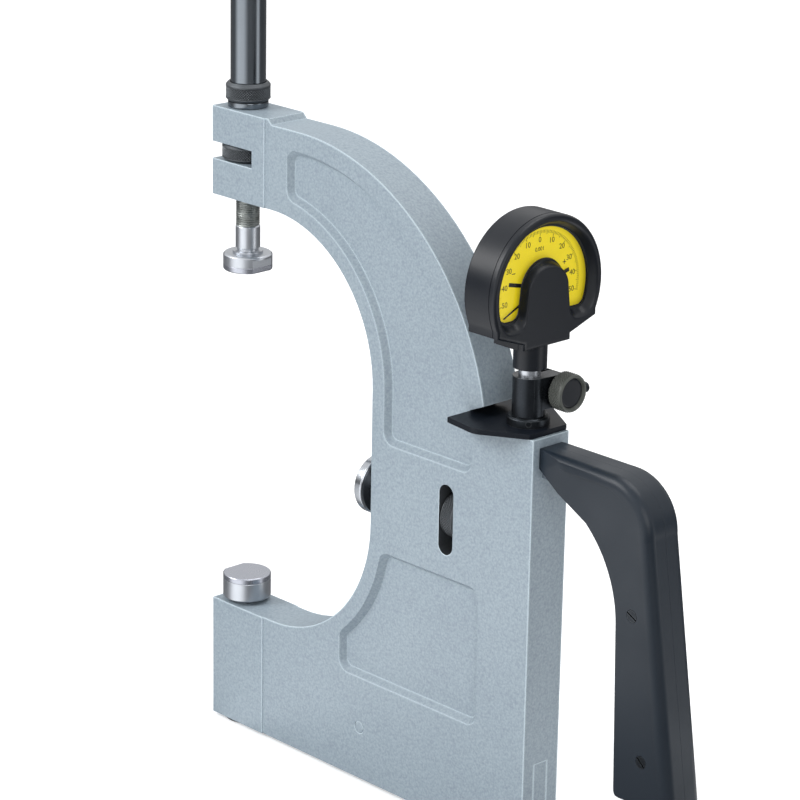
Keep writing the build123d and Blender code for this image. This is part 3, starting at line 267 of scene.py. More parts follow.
def turned_steel(name, tone, roughness, centre=(0, 0, 0), turn=(0, 0, 0), metallic=1.0, streak=0.18,
                 edge=None):
    # Steel turned and ground on a lathe: fine rings about 0.1 mm apart, drawn 0.25 mm apart to show, that
    # stretch its highlights into bands along the axis.
    material, add = new_material(name)
    place = add("ShaderNodeTexCoord").outputs["Object"]
    local = add("ShaderNodeMapping", {"Vector": place, "Location": centre, "Rotation": turn},
                vector_type="TEXTURE")
    axes = add("ShaderNodeSeparateXYZ", {"Vector": local})
    across = add("ShaderNodeCombineXYZ", {"X": axes.outputs["X"], "Y": axes.outputs["Y"]})
    radius = add("ShaderNodeVectorMath", {0: across}, operation="LENGTH")
    ring = add("ShaderNodeCombineXYZ", {"X": radius, "Y": axes.outputs["Z"]})
    lines = add("ShaderNodeTexNoise", {"Vector": ring, "Scale": 4000.0, "Detail": 3.0},
                noise_dimensions="2D")
    smudge = add("ShaderNodeTexNoise", {"Vector": place, "Scale": 140.0, "Detail": 3.0})
    both = add("ShaderNodeMath", {0: lines, 1: 0.6, 2: smudge}, operation="MULTIPLY_ADD")
    gloss = add("ShaderNodeMapRange", {
        "Value": both, "From Min": 0.5, "From Max": 1.1, "To Min": roughness * (1 - streak),
        "To Max": roughness * (1 + 2 * streak)})
    tinted = add("ShaderNodeMixRGB", {"Fac": lines, "Color1": tone, "Color2": darker(tone, streak)})
    # A pale line along the edges: partly rubbed wear, partly a painted highlight along the rims.
    if edge:
        tinted = add("ShaderNodeMixRGB", {
            "Fac": edge_lines(add, 0.45, 0.8), "Color1": tinted, "Color2": edge})
    bump = add("ShaderNodeBump", {"Height": lines, "Strength": 0.25, "Distance": 0.02 * MM})
    shader = add("ShaderNodeBsdfPrincipled", {
        "Base Color": tinted, "Metallic": metallic, "Roughness": gloss, "Normal": bump})
    add("ShaderNodeOutputMaterial", {"Surface": shader})
    return material


def black_oxide(settings):
    # Black oxide on machined steel, oiled: blue-black, softly mirror-like, with a faint mottle, and a pale
    #  line about 0.5 mm wide along the edges that is partly rubbed wear and partly a painted highlight on
    #  their rims.
    return turned_steel("Oiled black oxide", settings.blackened, 0.28, metallic=0.85, streak=0.25,
                        edge=settings.knurled)


def moulded(name, tone, roughness, grain_mm, depth_mm, mirror=0.3, glow=0.0):
    # Injection-moulded or lacquered surface: an even skin with a fine grain that breaks up its highlights.
    # A glow
    #  above nought is painted light: the skin lights itself in its own colour though it is no lamp.
    material, add = new_material(name)
    place = add("ShaderNodeTexCoord").outputs["Object"]
    grain = add("ShaderNodeTexNoise", {
        "Vector": place, "Scale": 1000.0 / grain_mm, "Detail": 2.0, "Roughness": 0.55})
    handling = add("ShaderNodeTexNoise", {"Vector": place, "Scale": 45.0, "Detail": 4.0})
    gloss = add("ShaderNodeMapRange", {
        "Value": handling, "From Min": 0.3, "From Max": 0.7, "To Min": roughness * 0.85,
        "To Max": roughness * 1.15})
    tinted = add("ShaderNodeMixRGB", {"Fac": handling, "Color1": tone, "Color2": darker(tone, 0.15)})
    bump = add("ShaderNodeBump", {"Height": grain, "Strength": 0.4, "Distance": depth_mm * MM})
    shader = add("ShaderNodeBsdfPrincipled", {
        "Base Color": tinted, "Roughness": gloss, "Normal": bump, "Specular IOR Level": mirror,
        "Emission Color": tone, "Emission Strength": glow})
    add("ShaderNodeOutputMaterial", {"Surface": shader})
    return material


def acrylic_window():
    # Moulded PMMA: clear, with a weak mirror at a flat angle. It lets light through to the dial.
    material, add = new_material("Clear acrylic")
    clear = add("ShaderNodeBsdfTransparent", {"Color": linear("#FBFCFB")})
    gloss = add("ShaderNodeBsdfGlossy", {"Roughness": 0.03})
    facing = add("ShaderNodeFresnel", {"IOR": 1.49})
    side = add("ShaderNodeNewGeometry")
    front = add("ShaderNodeMath", {0: 1.0, 1: side.outputs["Backfacing"]}, operation="SUBTRACT")
    outer = add("ShaderNodeMath", {0: facing, 1: front}, operation="MULTIPLY")
    mix = add("ShaderNodeMixShader", {0: outer, 1: clear, 2: gloss})
    add("ShaderNodeOutputMaterial", {"Surface": mix})
    return material


finishes = {}


def finish(name):
    """Material by its short name, made once from the settings."""
    settings = bpy.context.scene.snap_gauge.finish
    recipes = {
        "enamel": lambda: hammered_enamel(settings),
        "steel": lambda: turned_steel("Ground steel", settings.steel, 0.31),
        "level_steel": lambda: turned_steel("Ground steel, level axis", settings.steel, 0.25, STOP_ROD_AXIS,
                                            LEVEL),
        "carbide": lambda: turned_steel("Lapped carbide", settings.carbide, 0.26, streak=0.1),
        "polished": lambda: turned_steel("Polished black oxide", settings.blued, 0.17, streak=0.12),
        "stop_steel": lambda: turned_steel("Lapped steel, level axis", settings.steel, 0.16, STOP_DISC_AXIS,
                                           LEVEL, streak=0.1),
        "dark_steel": lambda: turned_steel("Oiled steel thread", settings.oiled, 0.34, streak=0.3),
        "chrome": lambda: turned_steel("Hard chrome", settings.steel, 0.32, STEM_AXIS, streak=0.1),
        "oxide": lambda: black_oxide(settings),
        "knurled": lambda: turned_steel("Rubbed black oxide", settings.knurled, 0.42, metallic=0.6,
                                        streak=0.25),
        "lacquer": lambda: moulded("Satin black lacquer", settings.lacquer, 0.34, 0.35, 0.004),
        "coated": lambda: moulded("Black powder coat", settings.lacquer, 0.45, 0.5, 0.006, mirror=0.15),
        # Painted light: the dial glows a little in its own colour to brighten it behind the window.
        "dial": lambda: moulded("Dial print with painted glow", settings.dial, 0.5, 0.2, 0.002, glow=0.3),
        "ink": lambda: moulded("Printing ink", settings.ink, 0.6, 0.2, 0.002),
        "grip": lambda: moulded("Grained polyamide", settings.grip, 0.38, 0.45, 0.01),
        "knob": lambda: moulded("Moulded phenolic", settings.knob, 0.4, 0.4, 0.01),
        "brass": lambda: turned_steel("Brass", settings.brass, 0.3, MOVEMENT_AXIS, LEVEL),
        "acrylic": acrylic_window,
    }
    if name not in finishes:
        finishes[name] = recipes[name]()
    return finishes[name]


# Meshes

def dress(node, name):
    """Gives a carried-over CAD node its material."""
    nodes[node].data.materials.clear()
    nodes[node].data.materials.append(finish(name))


def new_object(name, data):
    """Object in the scene with this mesh, curve, lamp or camera."""
    made = bpy.data.objects.new(name, data)
    bpy.context.scene.collection.objects.link(made)
    return made


def span(node, axis):
    """Low and high side of a node's box along x, y or z, in millimetres."""
    return [getattr(corner, axis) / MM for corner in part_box(node)]


def plain_mesh(holder):
    """Mesh of an object with its modifiers worked in; the object is removed."""
    bpy.context.view_layer.update()
    mesh = bpy.data.meshes.new_from_object(holder.evaluated_get(bpy.context.evaluated_depsgraph_get()))
    bpy.data.objects.remove(holder)
    return mesh


def place_piece(name, mesh, body, material, slot, *replaced, angle=21):
    """Makes the finished piece: smooth but for its edges, riding on its body, standing for its nodes."""
    mesh.polygons.foreach_set("material_index", [0] * len(mesh.polygons))
    mesh.shade_smooth()
    mesh.set_sharp_from_angle(angle=radians(angle))
    holder = new_object("holder", mesh)
    holder.modifiers.new("flat faces stay flat", "WEIGHTED_NORMAL").keep_sharp = True
    mesh = plain_mesh(holder)
    mesh.name = name
    mesh.materials.clear()
    mesh.materials.append(finish(material))
    piece = new_object(name, mesh)
    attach(piece, body)
    if replaced:
        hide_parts(*replaced)
    return piece


def merged(mesh):
    """Working model of a mesh, its loose triangles joined."""
    model = bmesh.new()
    model.from_mesh(mesh)
    bmesh.ops.remove_doubles(model, verts=model.verts, dist=2e-7)
    return model


def write(model, mesh):
    """Puts a finished working model into a mesh."""
    model.to_mesh(mesh)
    model.free()
    return mesh


def eased_copy(node, width, angle=30, segments=2):
    """Copy of a CAD node's mesh with its sharp edges rounded."""
    mesh = nodes[node].data.copy()
    model = merged(mesh)
    bmesh.ops.dissolve_limit(model, angle_limit=radians(0.4), verts=model.verts, edges=model.edges)
    holder = new_object("holder", write(model, mesh))
    bevel = holder.modifiers.new("edges", "BEVEL")
    bevel.width = width
    bevel.segments = segments
    bevel.limit_method = "ANGLE"
    bevel.angle_limit = radians(angle)
    return plain_mesh(holder)


def stand(spot, out=(0, 0, 1)):
    """Place of a piece made about the origin: its Z along out, its spot in millimetres."""
    return Matrix.Translation(Vector(spot) * MM) @ Vector(out).to_track_quat("Z", "Y").to_matrix().to_4x4()


def model_mesh(model, place=Matrix()):
    """Mesh of a finished working model, faces outwards, put in its place."""
    bmesh.ops.recalc_face_normals(model, faces=model.faces)
    mesh = write(model, bpy.data.meshes.new("work"))
    mesh.transform(place)
    return mesh


def bridge(model, low, high):
    """Faces between two closed rings of vertices; either may be a single pole."""
    count = max(len(low), len(high))
    for k in range(count):
        ring = (low[k % len(low)], low[(k + 1) % len(low)], high[(k + 1) % len(high)], high[k % len(high)])
        model.faces.new(dict.fromkeys(ring))


def turned(profile, ease=0.25, segments=96, place=Matrix()):
    """Mesh turned about Z from (radius, height) corners in millimetres, each corner eased. A profile that
    starts off the axis is a closed one, and gives a ring."""
    bored = profile[0][0] > 0
    line = []
    for i, corner in enumerate(profile):
        point = Vector(corner)
        if not bored and i in (0, len(profile) - 1):
            line.append(point)
            continue
        back, ahead = Vector(profile[i - 1]) - point, Vector(profile[(i + 1) % len(profile)]) - point
        cut = min(ease, back.length * 0.45, ahead.length * 0.45)
        start, end = point + back.normalized() * cut, point + ahead.normalized() * cut
        line += [start, (start + end + 2 * point) / 4, end]
    model = bmesh.new()
    rings = []
    for radius, height in line:
        spokes = [tau * k / segments for k in (range(segments) if radius > 0 else (0,))]
        rings.append([model.verts.new((radius * MM * cos(a), radius * MM * sin(a), height * MM))
                      for a in spokes])
    for i in range(len(rings) - (not bored)):
        bridge(model, rings[i], rings[(i + 1) % len(rings)])
    return model_mesh(model, place)


def joined(meshes):
    """One mesh of several."""
    model = bmesh.new()
    for mesh in meshes:
        model.from_mesh(mesh)
        bpy.data.meshes.remove(mesh)
    return write(model, bpy.data.meshes.new("work"))


# Geometry trees

def new_tree(name, sizes):
    """Geometry tree with its named inputs, whose default values are given; gives the tree, add_node for it
    and those inputs."""
    tree = bpy.data.node_groups.new(name, "GeometryNodeTree")
    for label, value in {"Geometry": None, **sizes, "Material": None}.items():
        kind = {float: "Float", int: "Int"}.get(type(value), label)
        socket = tree.interface.new_socket(label, in_out="INPUT", socket_type="NodeSocket" + kind)
        if value is not None:
            socket.default_value = value
    tree.interface.new_socket("Geometry", in_out="OUTPUT", socket_type="NodeSocketGeometry")
    add = partial(add_node, tree)
    return tree, add, add("NodeGroupInput").outputs


def finish_tree(tree, given, *parts):
    """Joins the parts, makes the copies real, sets the material and closes the tree."""
    both = add_node(tree, "GeometryNodeJoinGeometry")
    for part in parts:
        tree.links.new(output_of(part), both.inputs[0])
    real = add_node(tree, "GeometryNodeRealizeInstances", {"Geometry": both})
    dressed = add_node(tree, "GeometryNodeSetMaterial", {"Geometry": real, "Material": given["Material"]})
    add_node(tree, "NodeGroupOutput", {0: dressed})
    return tree


trees = {}


def grow(make, mesh, material, place=Matrix(), **values):
    """Works the tree of a maker function, built once, on a mesh, with the named inputs, and puts the result
    in its place."""
    if make not in trees:
        trees[make] = make()
    tree = trees[make]
    holder = new_object("holder", mesh)
    modifier = holder.modifiers.new(tree.name, "NODES")
    modifier.node_group = tree
    values["Material"] = finish(material)
    for socket in tree.interface.items_tree:
        label = socket.name.replace(" ", "_")
        if socket.in_out == "INPUT" and label in values:
            modifier[socket.identifier] = values[label]
    grown = plain_mesh(holder)
    grown.transform(place)
    return grown


def knurl_tree():
    """Diamond studs in staggered rows around Z, joined to the turned blank that comes in."""
    tree, add, given = new_tree("Diamond knurl", {
        "Radius": 0.008, "Low": 0.0, "Height": 0.005, "Pitch": 0.001, "Depth": 0.0003})
    girth = add("ShaderNodeMath", {0: given["Radius"], 1: tau}, operation="MULTIPLY")
    ratio = add("ShaderNodeMath", {0: girth, 1: given["Pitch"]}, operation="DIVIDE")
    columns = add("ShaderNodeMath", {0: ratio}, operation="FLOOR")
    twice = add("ShaderNodeMath", {0: given["Height"], 1: 2.0}, operation="MULTIPLY")
    steps = add("ShaderNodeMath", {0: twice, 1: given["Pitch"]}, operation="DIVIDE")
    rows = add("ShaderNodeMath", {0: steps}, operation="FLOOR")
    count = add("ShaderNodeMath", {0: columns, 1: rows}, operation="MULTIPLY")
    index = add("GeometryNodeInputIndex")
    row = add("ShaderNodeMath", {0: index, 1: rows}, operation="MODULO")
    share = add("ShaderNodeMath", {0: index, 1: rows}, operation="DIVIDE")
    column = add("ShaderNodeMath", {0: share}, operation="FLOOR")
    odd = add("ShaderNodeMath", {0: row, 1: 2.0}, operation="MODULO")
    shifted = add("ShaderNodeMath", {0: odd, 1: 0.5, 2: column}, operation="MULTIPLY_ADD")
    around = add("ShaderNodeMath", {0: shifted, 1: columns}, operation="DIVIDE")
    angle = add("ShaderNodeMath", {0: around, 1: tau}, operation="MULTIPLY")
    level = add("ShaderNodeMath", {0: row, 1: 0.5}, operation="ADD")
    rise = add("ShaderNodeMath", {0: level, 1: rows}, operation="DIVIDE")
    height = add("ShaderNodeMath", {0: rise, 1: given["Height"], 2: given["Low"]}, operation="MULTIPLY_ADD")
    cosine = add("ShaderNodeMath", {0: angle}, operation="COSINE")
    sine = add("ShaderNodeMath", {0: angle}, operation="SINE")
    x = add("ShaderNodeMath", {0: cosine, 1: given["Radius"]}, operation="MULTIPLY")
    y = add("ShaderNodeMath", {0: sine, 1: given["Radius"]}, operation="MULTIPLY")
    spot = add("ShaderNodeCombineXYZ", {"X": x, "Y": y, "Z": height})
    spots = add("GeometryNodePoints", {"Count": count, "Position": spot})
    half = add("ShaderNodeMath", {0: given["Pitch"], 1: 0.5}, operation="MULTIPLY")
    tip = add("ShaderNodeMath", {0: given["Pitch"], 1: 0.12}, operation="MULTIPLY")
    stud = add("GeometryNodeMeshCone", {
        "Vertices": 4, "Radius Top": tip, "Radius Bottom": half, "Depth": given["Depth"]})
    lean = add("ShaderNodeCombineXYZ", {"Y": pi / 2, "Z": angle})
    turn = add("FunctionNodeEulerToRotation", {0: lean})
    studs = add("GeometryNodeInstanceOnPoints", {"Points": spots, "Instance": stud, "Rotation": turn})
    return finish_tree(tree, given, given["Geometry"], studs)


def thread_tree():
    """Round-crested ridge wound around Z, joined to the turned core that comes in."""
    tree, add, given = new_tree("Thread", {"Radius": 0.0045, "Low": 0.0, "Length": 0.02, "Pitch": 0.001})
    turns = add("ShaderNodeMath", {0: given["Length"], 1: given["Pitch"]}, operation="DIVIDE")
    helix = add("GeometryNodeCurveSpiral", {
        "Resolution": 40, "Rotations": turns, "Start Radius": given["Radius"],
        "End Radius": given["Radius"], "Height": given["Length"]})
    thick = add("ShaderNodeMath", {0: given["Pitch"], 1: 0.32}, operation="MULTIPLY")
    section = add("GeometryNodeCurvePrimitiveCircle", {"Resolution": 6, "Radius": thick})
    ridge = add("GeometryNodeCurveToMesh", {"Curve": helix, "Profile Curve": section, "Fill Caps": True})
    lift = add("ShaderNodeCombineXYZ", {"Z": given["Low"]})
    raised = add("GeometryNodeTransform", {"Geometry": ridge, "Translation": lift})
    return finish_tree(tree, given, given["Geometry"], raised)


def graduation_tree():
    """Graduations over an arc, zero at the top: every fifth one longer, every tenth the longest."""
    tree, add, given = new_tree("Graduations", {
        "Divisions": 100, "Half Span": radians(102.5), "Radius": 0.0215, "Length": 0.0011,
        "Width": 0.00016, "Thickness": 0.00004})
    count = add("ShaderNodeMath", {0: given["Divisions"], 1: 1.0}, operation="ADD")
    index = add("GeometryNodeInputIndex")
    share = add("ShaderNodeMath", {0: index, 1: given["Divisions"]}, operation="DIVIDE")
    middle = add("ShaderNodeMath", {0: share, 1: -2.0, 2: 1.0}, operation="MULTIPLY_ADD")
    angle = add("ShaderNodeMath", {0: middle, 1: given["Half Span"]}, operation="MULTIPLY")
    fifth = add("ShaderNodeMath", {0: index, 1: 5.0}, operation="MODULO")
    tenth = add("ShaderNodeMath", {0: index, 1: 10.0}, operation="MODULO")
    mid = add("ShaderNodeMath", {0: fifth, 1: 0.5}, operation="LESS_THAN")
    long = add("ShaderNodeMath", {0: tenth, 1: 0.5}, operation="LESS_THAN")
    marks = add("ShaderNodeMath", {0: mid, 1: long}, operation="ADD")
    factor = add("ShaderNodeMath", {0: marks, 1: 0.4, 2: 1.0}, operation="MULTIPLY_ADD")
    size = add("ShaderNodeMath", {0: factor, 1: given["Length"]}, operation="MULTIPLY")
    radius = add("ShaderNodeMath", {0: size, 1: -0.5, 2: given["Radius"]}, operation="MULTIPLY_ADD")
    out = add("ShaderNodeCombineXYZ", {"Y": radius})
    spot = add("ShaderNodeVectorRotate", {"Vector": out, "Angle": angle}, rotation_type="Z_AXIS")
    spots = add("GeometryNodePoints", {"Count": count, "Position": spot})
    blank = add("ShaderNodeCombineXYZ", {"X": given["Width"], "Y": 1.0, "Z": given["Thickness"]})
    bar = add("GeometryNodeMeshCube", {"Size": blank})
    stretch = add("ShaderNodeCombineXYZ", {"X": 1.0, "Y": size, "Z": 1.0})
    lean = add("ShaderNodeCombineXYZ", {"Z": angle})
    turn = add("FunctionNodeEulerToRotation", {0: lean})
    bars = add("GeometryNodeInstanceOnPoints", {
        "Points": spots, "Instance": bar, "Rotation": turn, "Scale": stretch})
    return finish_tree(tree, given, bars)


def screw_tree():
    """Slotted heads on the points that come in, each turned by its own seeded amount."""
    tree, add, given = new_tree("Slotted heads", {
        "Radius": 0.0024, "Height": 0.0012, "Slot Width": 0.0006, "Slot Depth": 0.0005, "Turn": 0.0,
        "Spread": 0.5, "Seed": 3})
    top = add("ShaderNodeMath", {0: given["Radius"], 1: 0.93}, operation="MULTIPLY")
    head = add("GeometryNodeMeshCone", {
        "Vertices": 40, "Radius Top": top, "Radius Bottom": given["Radius"], "Depth": given["Height"]})
    sunk = add("ShaderNodeVectorMath", {0: (0.0, 0.0, -1.0), "Scale": given["Height"]}, operation="SCALE")
    seated = add("GeometryNodeTransform", {"Geometry": head, "Translation": sunk})
    across = add("ShaderNodeMath", {0: given["Radius"], 1: 3.0}, operation="MULTIPLY")
    deep = add("ShaderNodeMath", {0: given["Slot Depth"], 1: 2.0}, operation="MULTIPLY")
    cutter = add("ShaderNodeCombineXYZ", {"X": across, "Y": given["Slot Width"], "Z": deep})
    slot = add("GeometryNodeMeshCube", {"Size": cutter})
    slotted = add("GeometryNodeMeshBoolean", {"Mesh 1": seated, "Mesh 2": slot},
                  operation="DIFFERENCE", solver="EXACT")
    low = add("ShaderNodeMath", {0: given["Spread"], 1: -1.0, 2: given["Turn"]}, operation="MULTIPLY_ADD")
    high = add("ShaderNodeMath", {0: given["Spread"], 1: given["Turn"]}, operation="ADD")
    drawn = add("FunctionNodeRandomValue", {"Min": low, "Max": high, "Seed": given["Seed"]},
                data_type="FLOAT")
    lean = add("ShaderNodeCombineXYZ", {"Z": drawn})
    turn = add("FunctionNodeEulerToRotation", {0: lean})
    heads = add("GeometryNodeInstanceOnPoints", {
        "Points": given["Geometry"], "Instance": slotted, "Rotation": turn})
    return finish_tree(tree, given, heads)


def screw_heads(spots, radius, height, turn, spread, place, seed=3):
    """Slotted heads at spots (x, y) in millimetres on a face, their tops in its plane."""
    mesh = bpy.data.meshes.new("work")
    mesh.from_pydata([(x * MM, y * MM, 0) for x, y in spots], [], [])
    return grow(screw_tree, mesh, "oxide", place, Radius=radius * MM, Height=height * MM,
                Slot_Width=radius * 0.26 * MM, Slot_Depth=height * 0.45 * MM, Turn=radians(turn),
                Spread=radians(spread), Seed=seed)


def knurled(blank, radius, low, height, material, place):
    """Knurls a turned blank over a band; radius is over the studs."""
    shape = bpy.context.scene.snap_gauge.shape
    return grow(knurl_tree, blank, material, place, Radius=radius * MM - shape.knurl_depth,
                Low=low * MM, Height=height * MM, Pitch=shape.knurl_pitch, Depth=shape.knurl_depth)


def knurled_nut(bore, radius, chamfer, width, place):
    """Ring nut with a plain chamfered lip at each end and knurling between them."""
    root, lip = radius - 0.35, chamfer + 0.3
    band = lip + 0.1
    blank = turned([(bore, 0), (radius - chamfer, 0), (radius, chamfer), (radius, lip), (root, band),
                    (root, width - band), (radius, width - lip), (radius, width - chamfer),
                    (radius - chamfer, width), (bore, width)], 0.15)
    return knurled(blank, radius - 0.05, band, width - 2 * band, "knurled", place)


# Operators

class SNAPGAUGE_OT_casting(bpy.types.Operator):
    """Casting of the frame with rounded edges under its enamel"""
    bl_idname = "snapgauge.casting"
    bl_label = "Frame casting"

    def execute(self, context):
        edge = context.scene.snap_gauge.shape.casting_edge
        casting = place_piece("casting", eased_copy("frame", edge), "frame_body", "enamel", "frame_paint",
                              "frame")
        # The walls of the slot round the stop's nut get the dark rubbed oxide instead of the enamel:
        # painted shade for the deep slot.
        casting.data.materials.append(finish("knurled"))
        slot_middle, slot_reach = Vector((121.9, 0, 57.8)), (4.2, 7.8, 14.2)
        for face in casting.data.polygons:
            away = face.center / MM - slot_middle
            if all(abs(off) < reach for off, reach in zip(away, slot_reach)):
                face.material_index = 1
        return {"FINISHED"}


class SNAPGAUGE_OT_anvils(bpy.types.Operator):
    """Both anvils with their hard faces, and the threaded spindle"""
    bl_idname = "snapgauge.anvils"
    bl_label = "Anvils"

    def execute(self, context):
        shape = context.scene.snap_gauge.shape
        for name, node, body, material, slot in (
                ("low_anvil", "anvil_stem", "anvil", "chrome", "ground_steel"),
                ("low_anvil_face", "anvil_tip", "anvil", "carbide", "hard_metal"),
                ("high_anvil", "upper_anvil", "spindle_body", "chrome", "ground_steel"),
                ("high_anvil_face", "upper_anvil_tip", "spindle_body", "carbide", "hard_metal")):
            place_piece(name, eased_copy(node, shape.machined_edge), body, material, slot, node)
        low, high = span("spindle", "z")
        ground = turned([(0, low - 0.2), (5.9, low - 0.2), (5.9, low + 0.9), (4.2, low + 0.9),
                         (4.2, low + 2.2), (4.8, low + 2.2), (4.8, low + 10.6), (4.3, low + 11.1),
                         (0, low + 11.1)], 0.15, 72)
        place_piece("spindle_ground", ground, "spindle_body", "chrome", "ground_steel", "spindle")
        core = turned([(0, low + 10), (4.3, low + 10), (4.3, high - 0.9), (3.4, high), (0, high)], 0.15, 72)
        threaded = grow(thread_tree, core, "dark_steel", Radius=4.4 * MM, Low=(low + 11) * MM,
                        Length=(high - low - 12.4) * MM, Pitch=shape.thread_pitch)
        place_piece("spindle_thread", threaded, "spindle_body", "dark_steel", "ground_steel")
        return {"FINISHED"}


class SNAPGAUGE_OT_column(bpy.types.Operator):
    """Tube over the spindle with its cap, the clamping collar and the adjusting nut"""
    bl_idname = "snapgauge.column"
    bl_label = "Tube, collar and nut"

    def execute(self, context):
        neck = span("frame", "z")[1]
        collar_low, collar_high = span("lock_collar", "z")
        cap_high = span("tube_cap", "z")[1]
        tube = turned([(0, neck - 12), (5.5, neck - 12), (5.5, neck + 0.1), (7.8, neck + 0.1),
                       (7.8, collar_low - 0.1), (6.8, collar_low), (6.8, TUBE_TOP - 0.1),
                       (0, TUBE_TOP - 0.1)], 0.3, 128)
        place_piece("spindle_column", tube, "frame_body", "polished", "black_steel", "spindle_tube")
        cap = turned([(0, TUBE_TOP - 1), (6.8, TUBE_TOP + 0.05), (6.8, cap_high - 1.2), (5.4, cap_high),
                      (1.5, cap_high), (1.5, cap_high - 0.6), (0, cap_high - 0.6)], 0.4)
        place_piece("column_cap", cap, "frame_body", "polished", "black_steel", "tube_cap")
        rim = collar_high - collar_low
        blank = turned([(7.0, 0), (7.6, 0), (8.6, 1.0), (8.6, 1.4), (8.25, 1.5), (8.25, rim - 1.8),
                        (8.6, rim - 1.7), (8.6, rim - 1.1), (7.7, rim), (7.0, rim)], 0.15)
        collar = knurled(blank, 8.55, 1.5, rim - 3.2, "knurled", stand((0, 0, collar_low)))
        place_piece("clamping_collar", collar, "collar", "knurled", "black_steel", "lock_collar")
        low, high = span("adjusting_nut", "z")
        nut = knurled_nut(5.0, 10.0, 0.8, high - low, stand((0, 0, low)))
        place_piece("spindle_nut", nut, "spindle_wheel", "knurled", "black_steel", "adjusting_nut")
        return {"FINISHED"}


class SNAPGAUGE_OT_work_stop(bpy.types.Operator):
    """Work stop: polished disc, backing and the knurled nut in the slot"""
    bl_idname = "snapgauge.work_stop"
    bl_label = "Work stop"

    def execute(self, context):
        front, back = span("stop_disc", "x")
        mid = sum(span("stop_disc", "z")) / 2
        place = stand((back, 0, mid), (-1, 0, 0))
        disc = turned([(0, 0), (11.1, 0), (11.5, 0.5), (11.5, back - front - 0.7), (10.8, back - front),
                       (0, back - front)], 0.2, 128, place)
        place_piece("stop_face", disc, "stop", "stop_steel", "ground_steel", "stop_disc")
        deep = span("stop_backing", "x")[1] - back
        backing = turned([(0, -deep), (9.4, -deep), (11.1, -0.9), (11.1, 0), (0, 0)], place=place)
        place_piece("stop_seat", backing, "stop", "oxide", "black_steel", "stop_backing")
        low, high = span("stop_nut", "x")
        nut = knurled_nut(4.1, 9.3, 0.7, high - low, stand((low, 0, mid), (1, 0, 0)))
        place_piece("stop_knurled_nut", nut, "stop_wheel", "knurled", "black_steel", "stop_nut")
        return {"FINISHED"}


class SNAPGAUGE_OT_clamp(bpy.types.Operator):
    """Guard plate, ring nut, split sleeve and knob of the comparator's clamp"""
    bl_idname = "snapgauge.clamp"
    bl_label = "Comparator clamp"

    def execute(self, context):
        edge = context.scene.snap_gauge.shape.machined_edge
        for name, node, material in (
                ("guard", "guard_plate", "coated"), ("clamp_ring", "ring_nut", "oxide"),
                ("split_sleeve", "clamp_sleeve", "oxide")):
            mesh = eased_copy(node, edge)
            if node == "guard_plate":
                # Its left end stands out a little further than its solid's.
                left_end, longer = 131.5 * MM, 0.9 * MM
                for corner in mesh.vertices:
                    corner.co.x -= longer * (corner.co.x < left_end)
            place_piece(name, mesh, "frame_body", material, "black_steel", node)
        low, high = span("clamp_knob", "x")
        side, mid = (sum(span("clamp_knob", axis)) / 2 for axis in "yz")
        deep = high - low
        place = stand((low, side, mid), (1, 0, 0))
        blank = turned([(0, 0), (6.4, 0), (6.95, 0.6), (6.95, deep - 0.9), (6.9, deep - 0.3), (6.5, deep),
                        (5.9, deep), (5.5, deep - 1.3), (0, deep - 1.3)])
        dish = turned([(0, deep - 1.35), (5.45, deep - 1.35), (5.45, deep - 1.1), (4.9, deep - 0.9),
                       (0, deep - 1.05)], 0.2, place=place)
        place_piece("thumb_knob_face", dish, "clamp", "lacquer", "black_steel")
        rim = knurled(blank, 7.25, 0.7, deep - 1.8, "knob", place)
        place_piece("thumb_knob", rim, "clamp", "knob", "black_steel", "clamp_knob")
        place_piece("thumb_pin", eased_copy("knob_pin", 2 * edge), "clamp", "oxide", "black_steel",
                    "knob_pin")
        return {"FINISHED"}


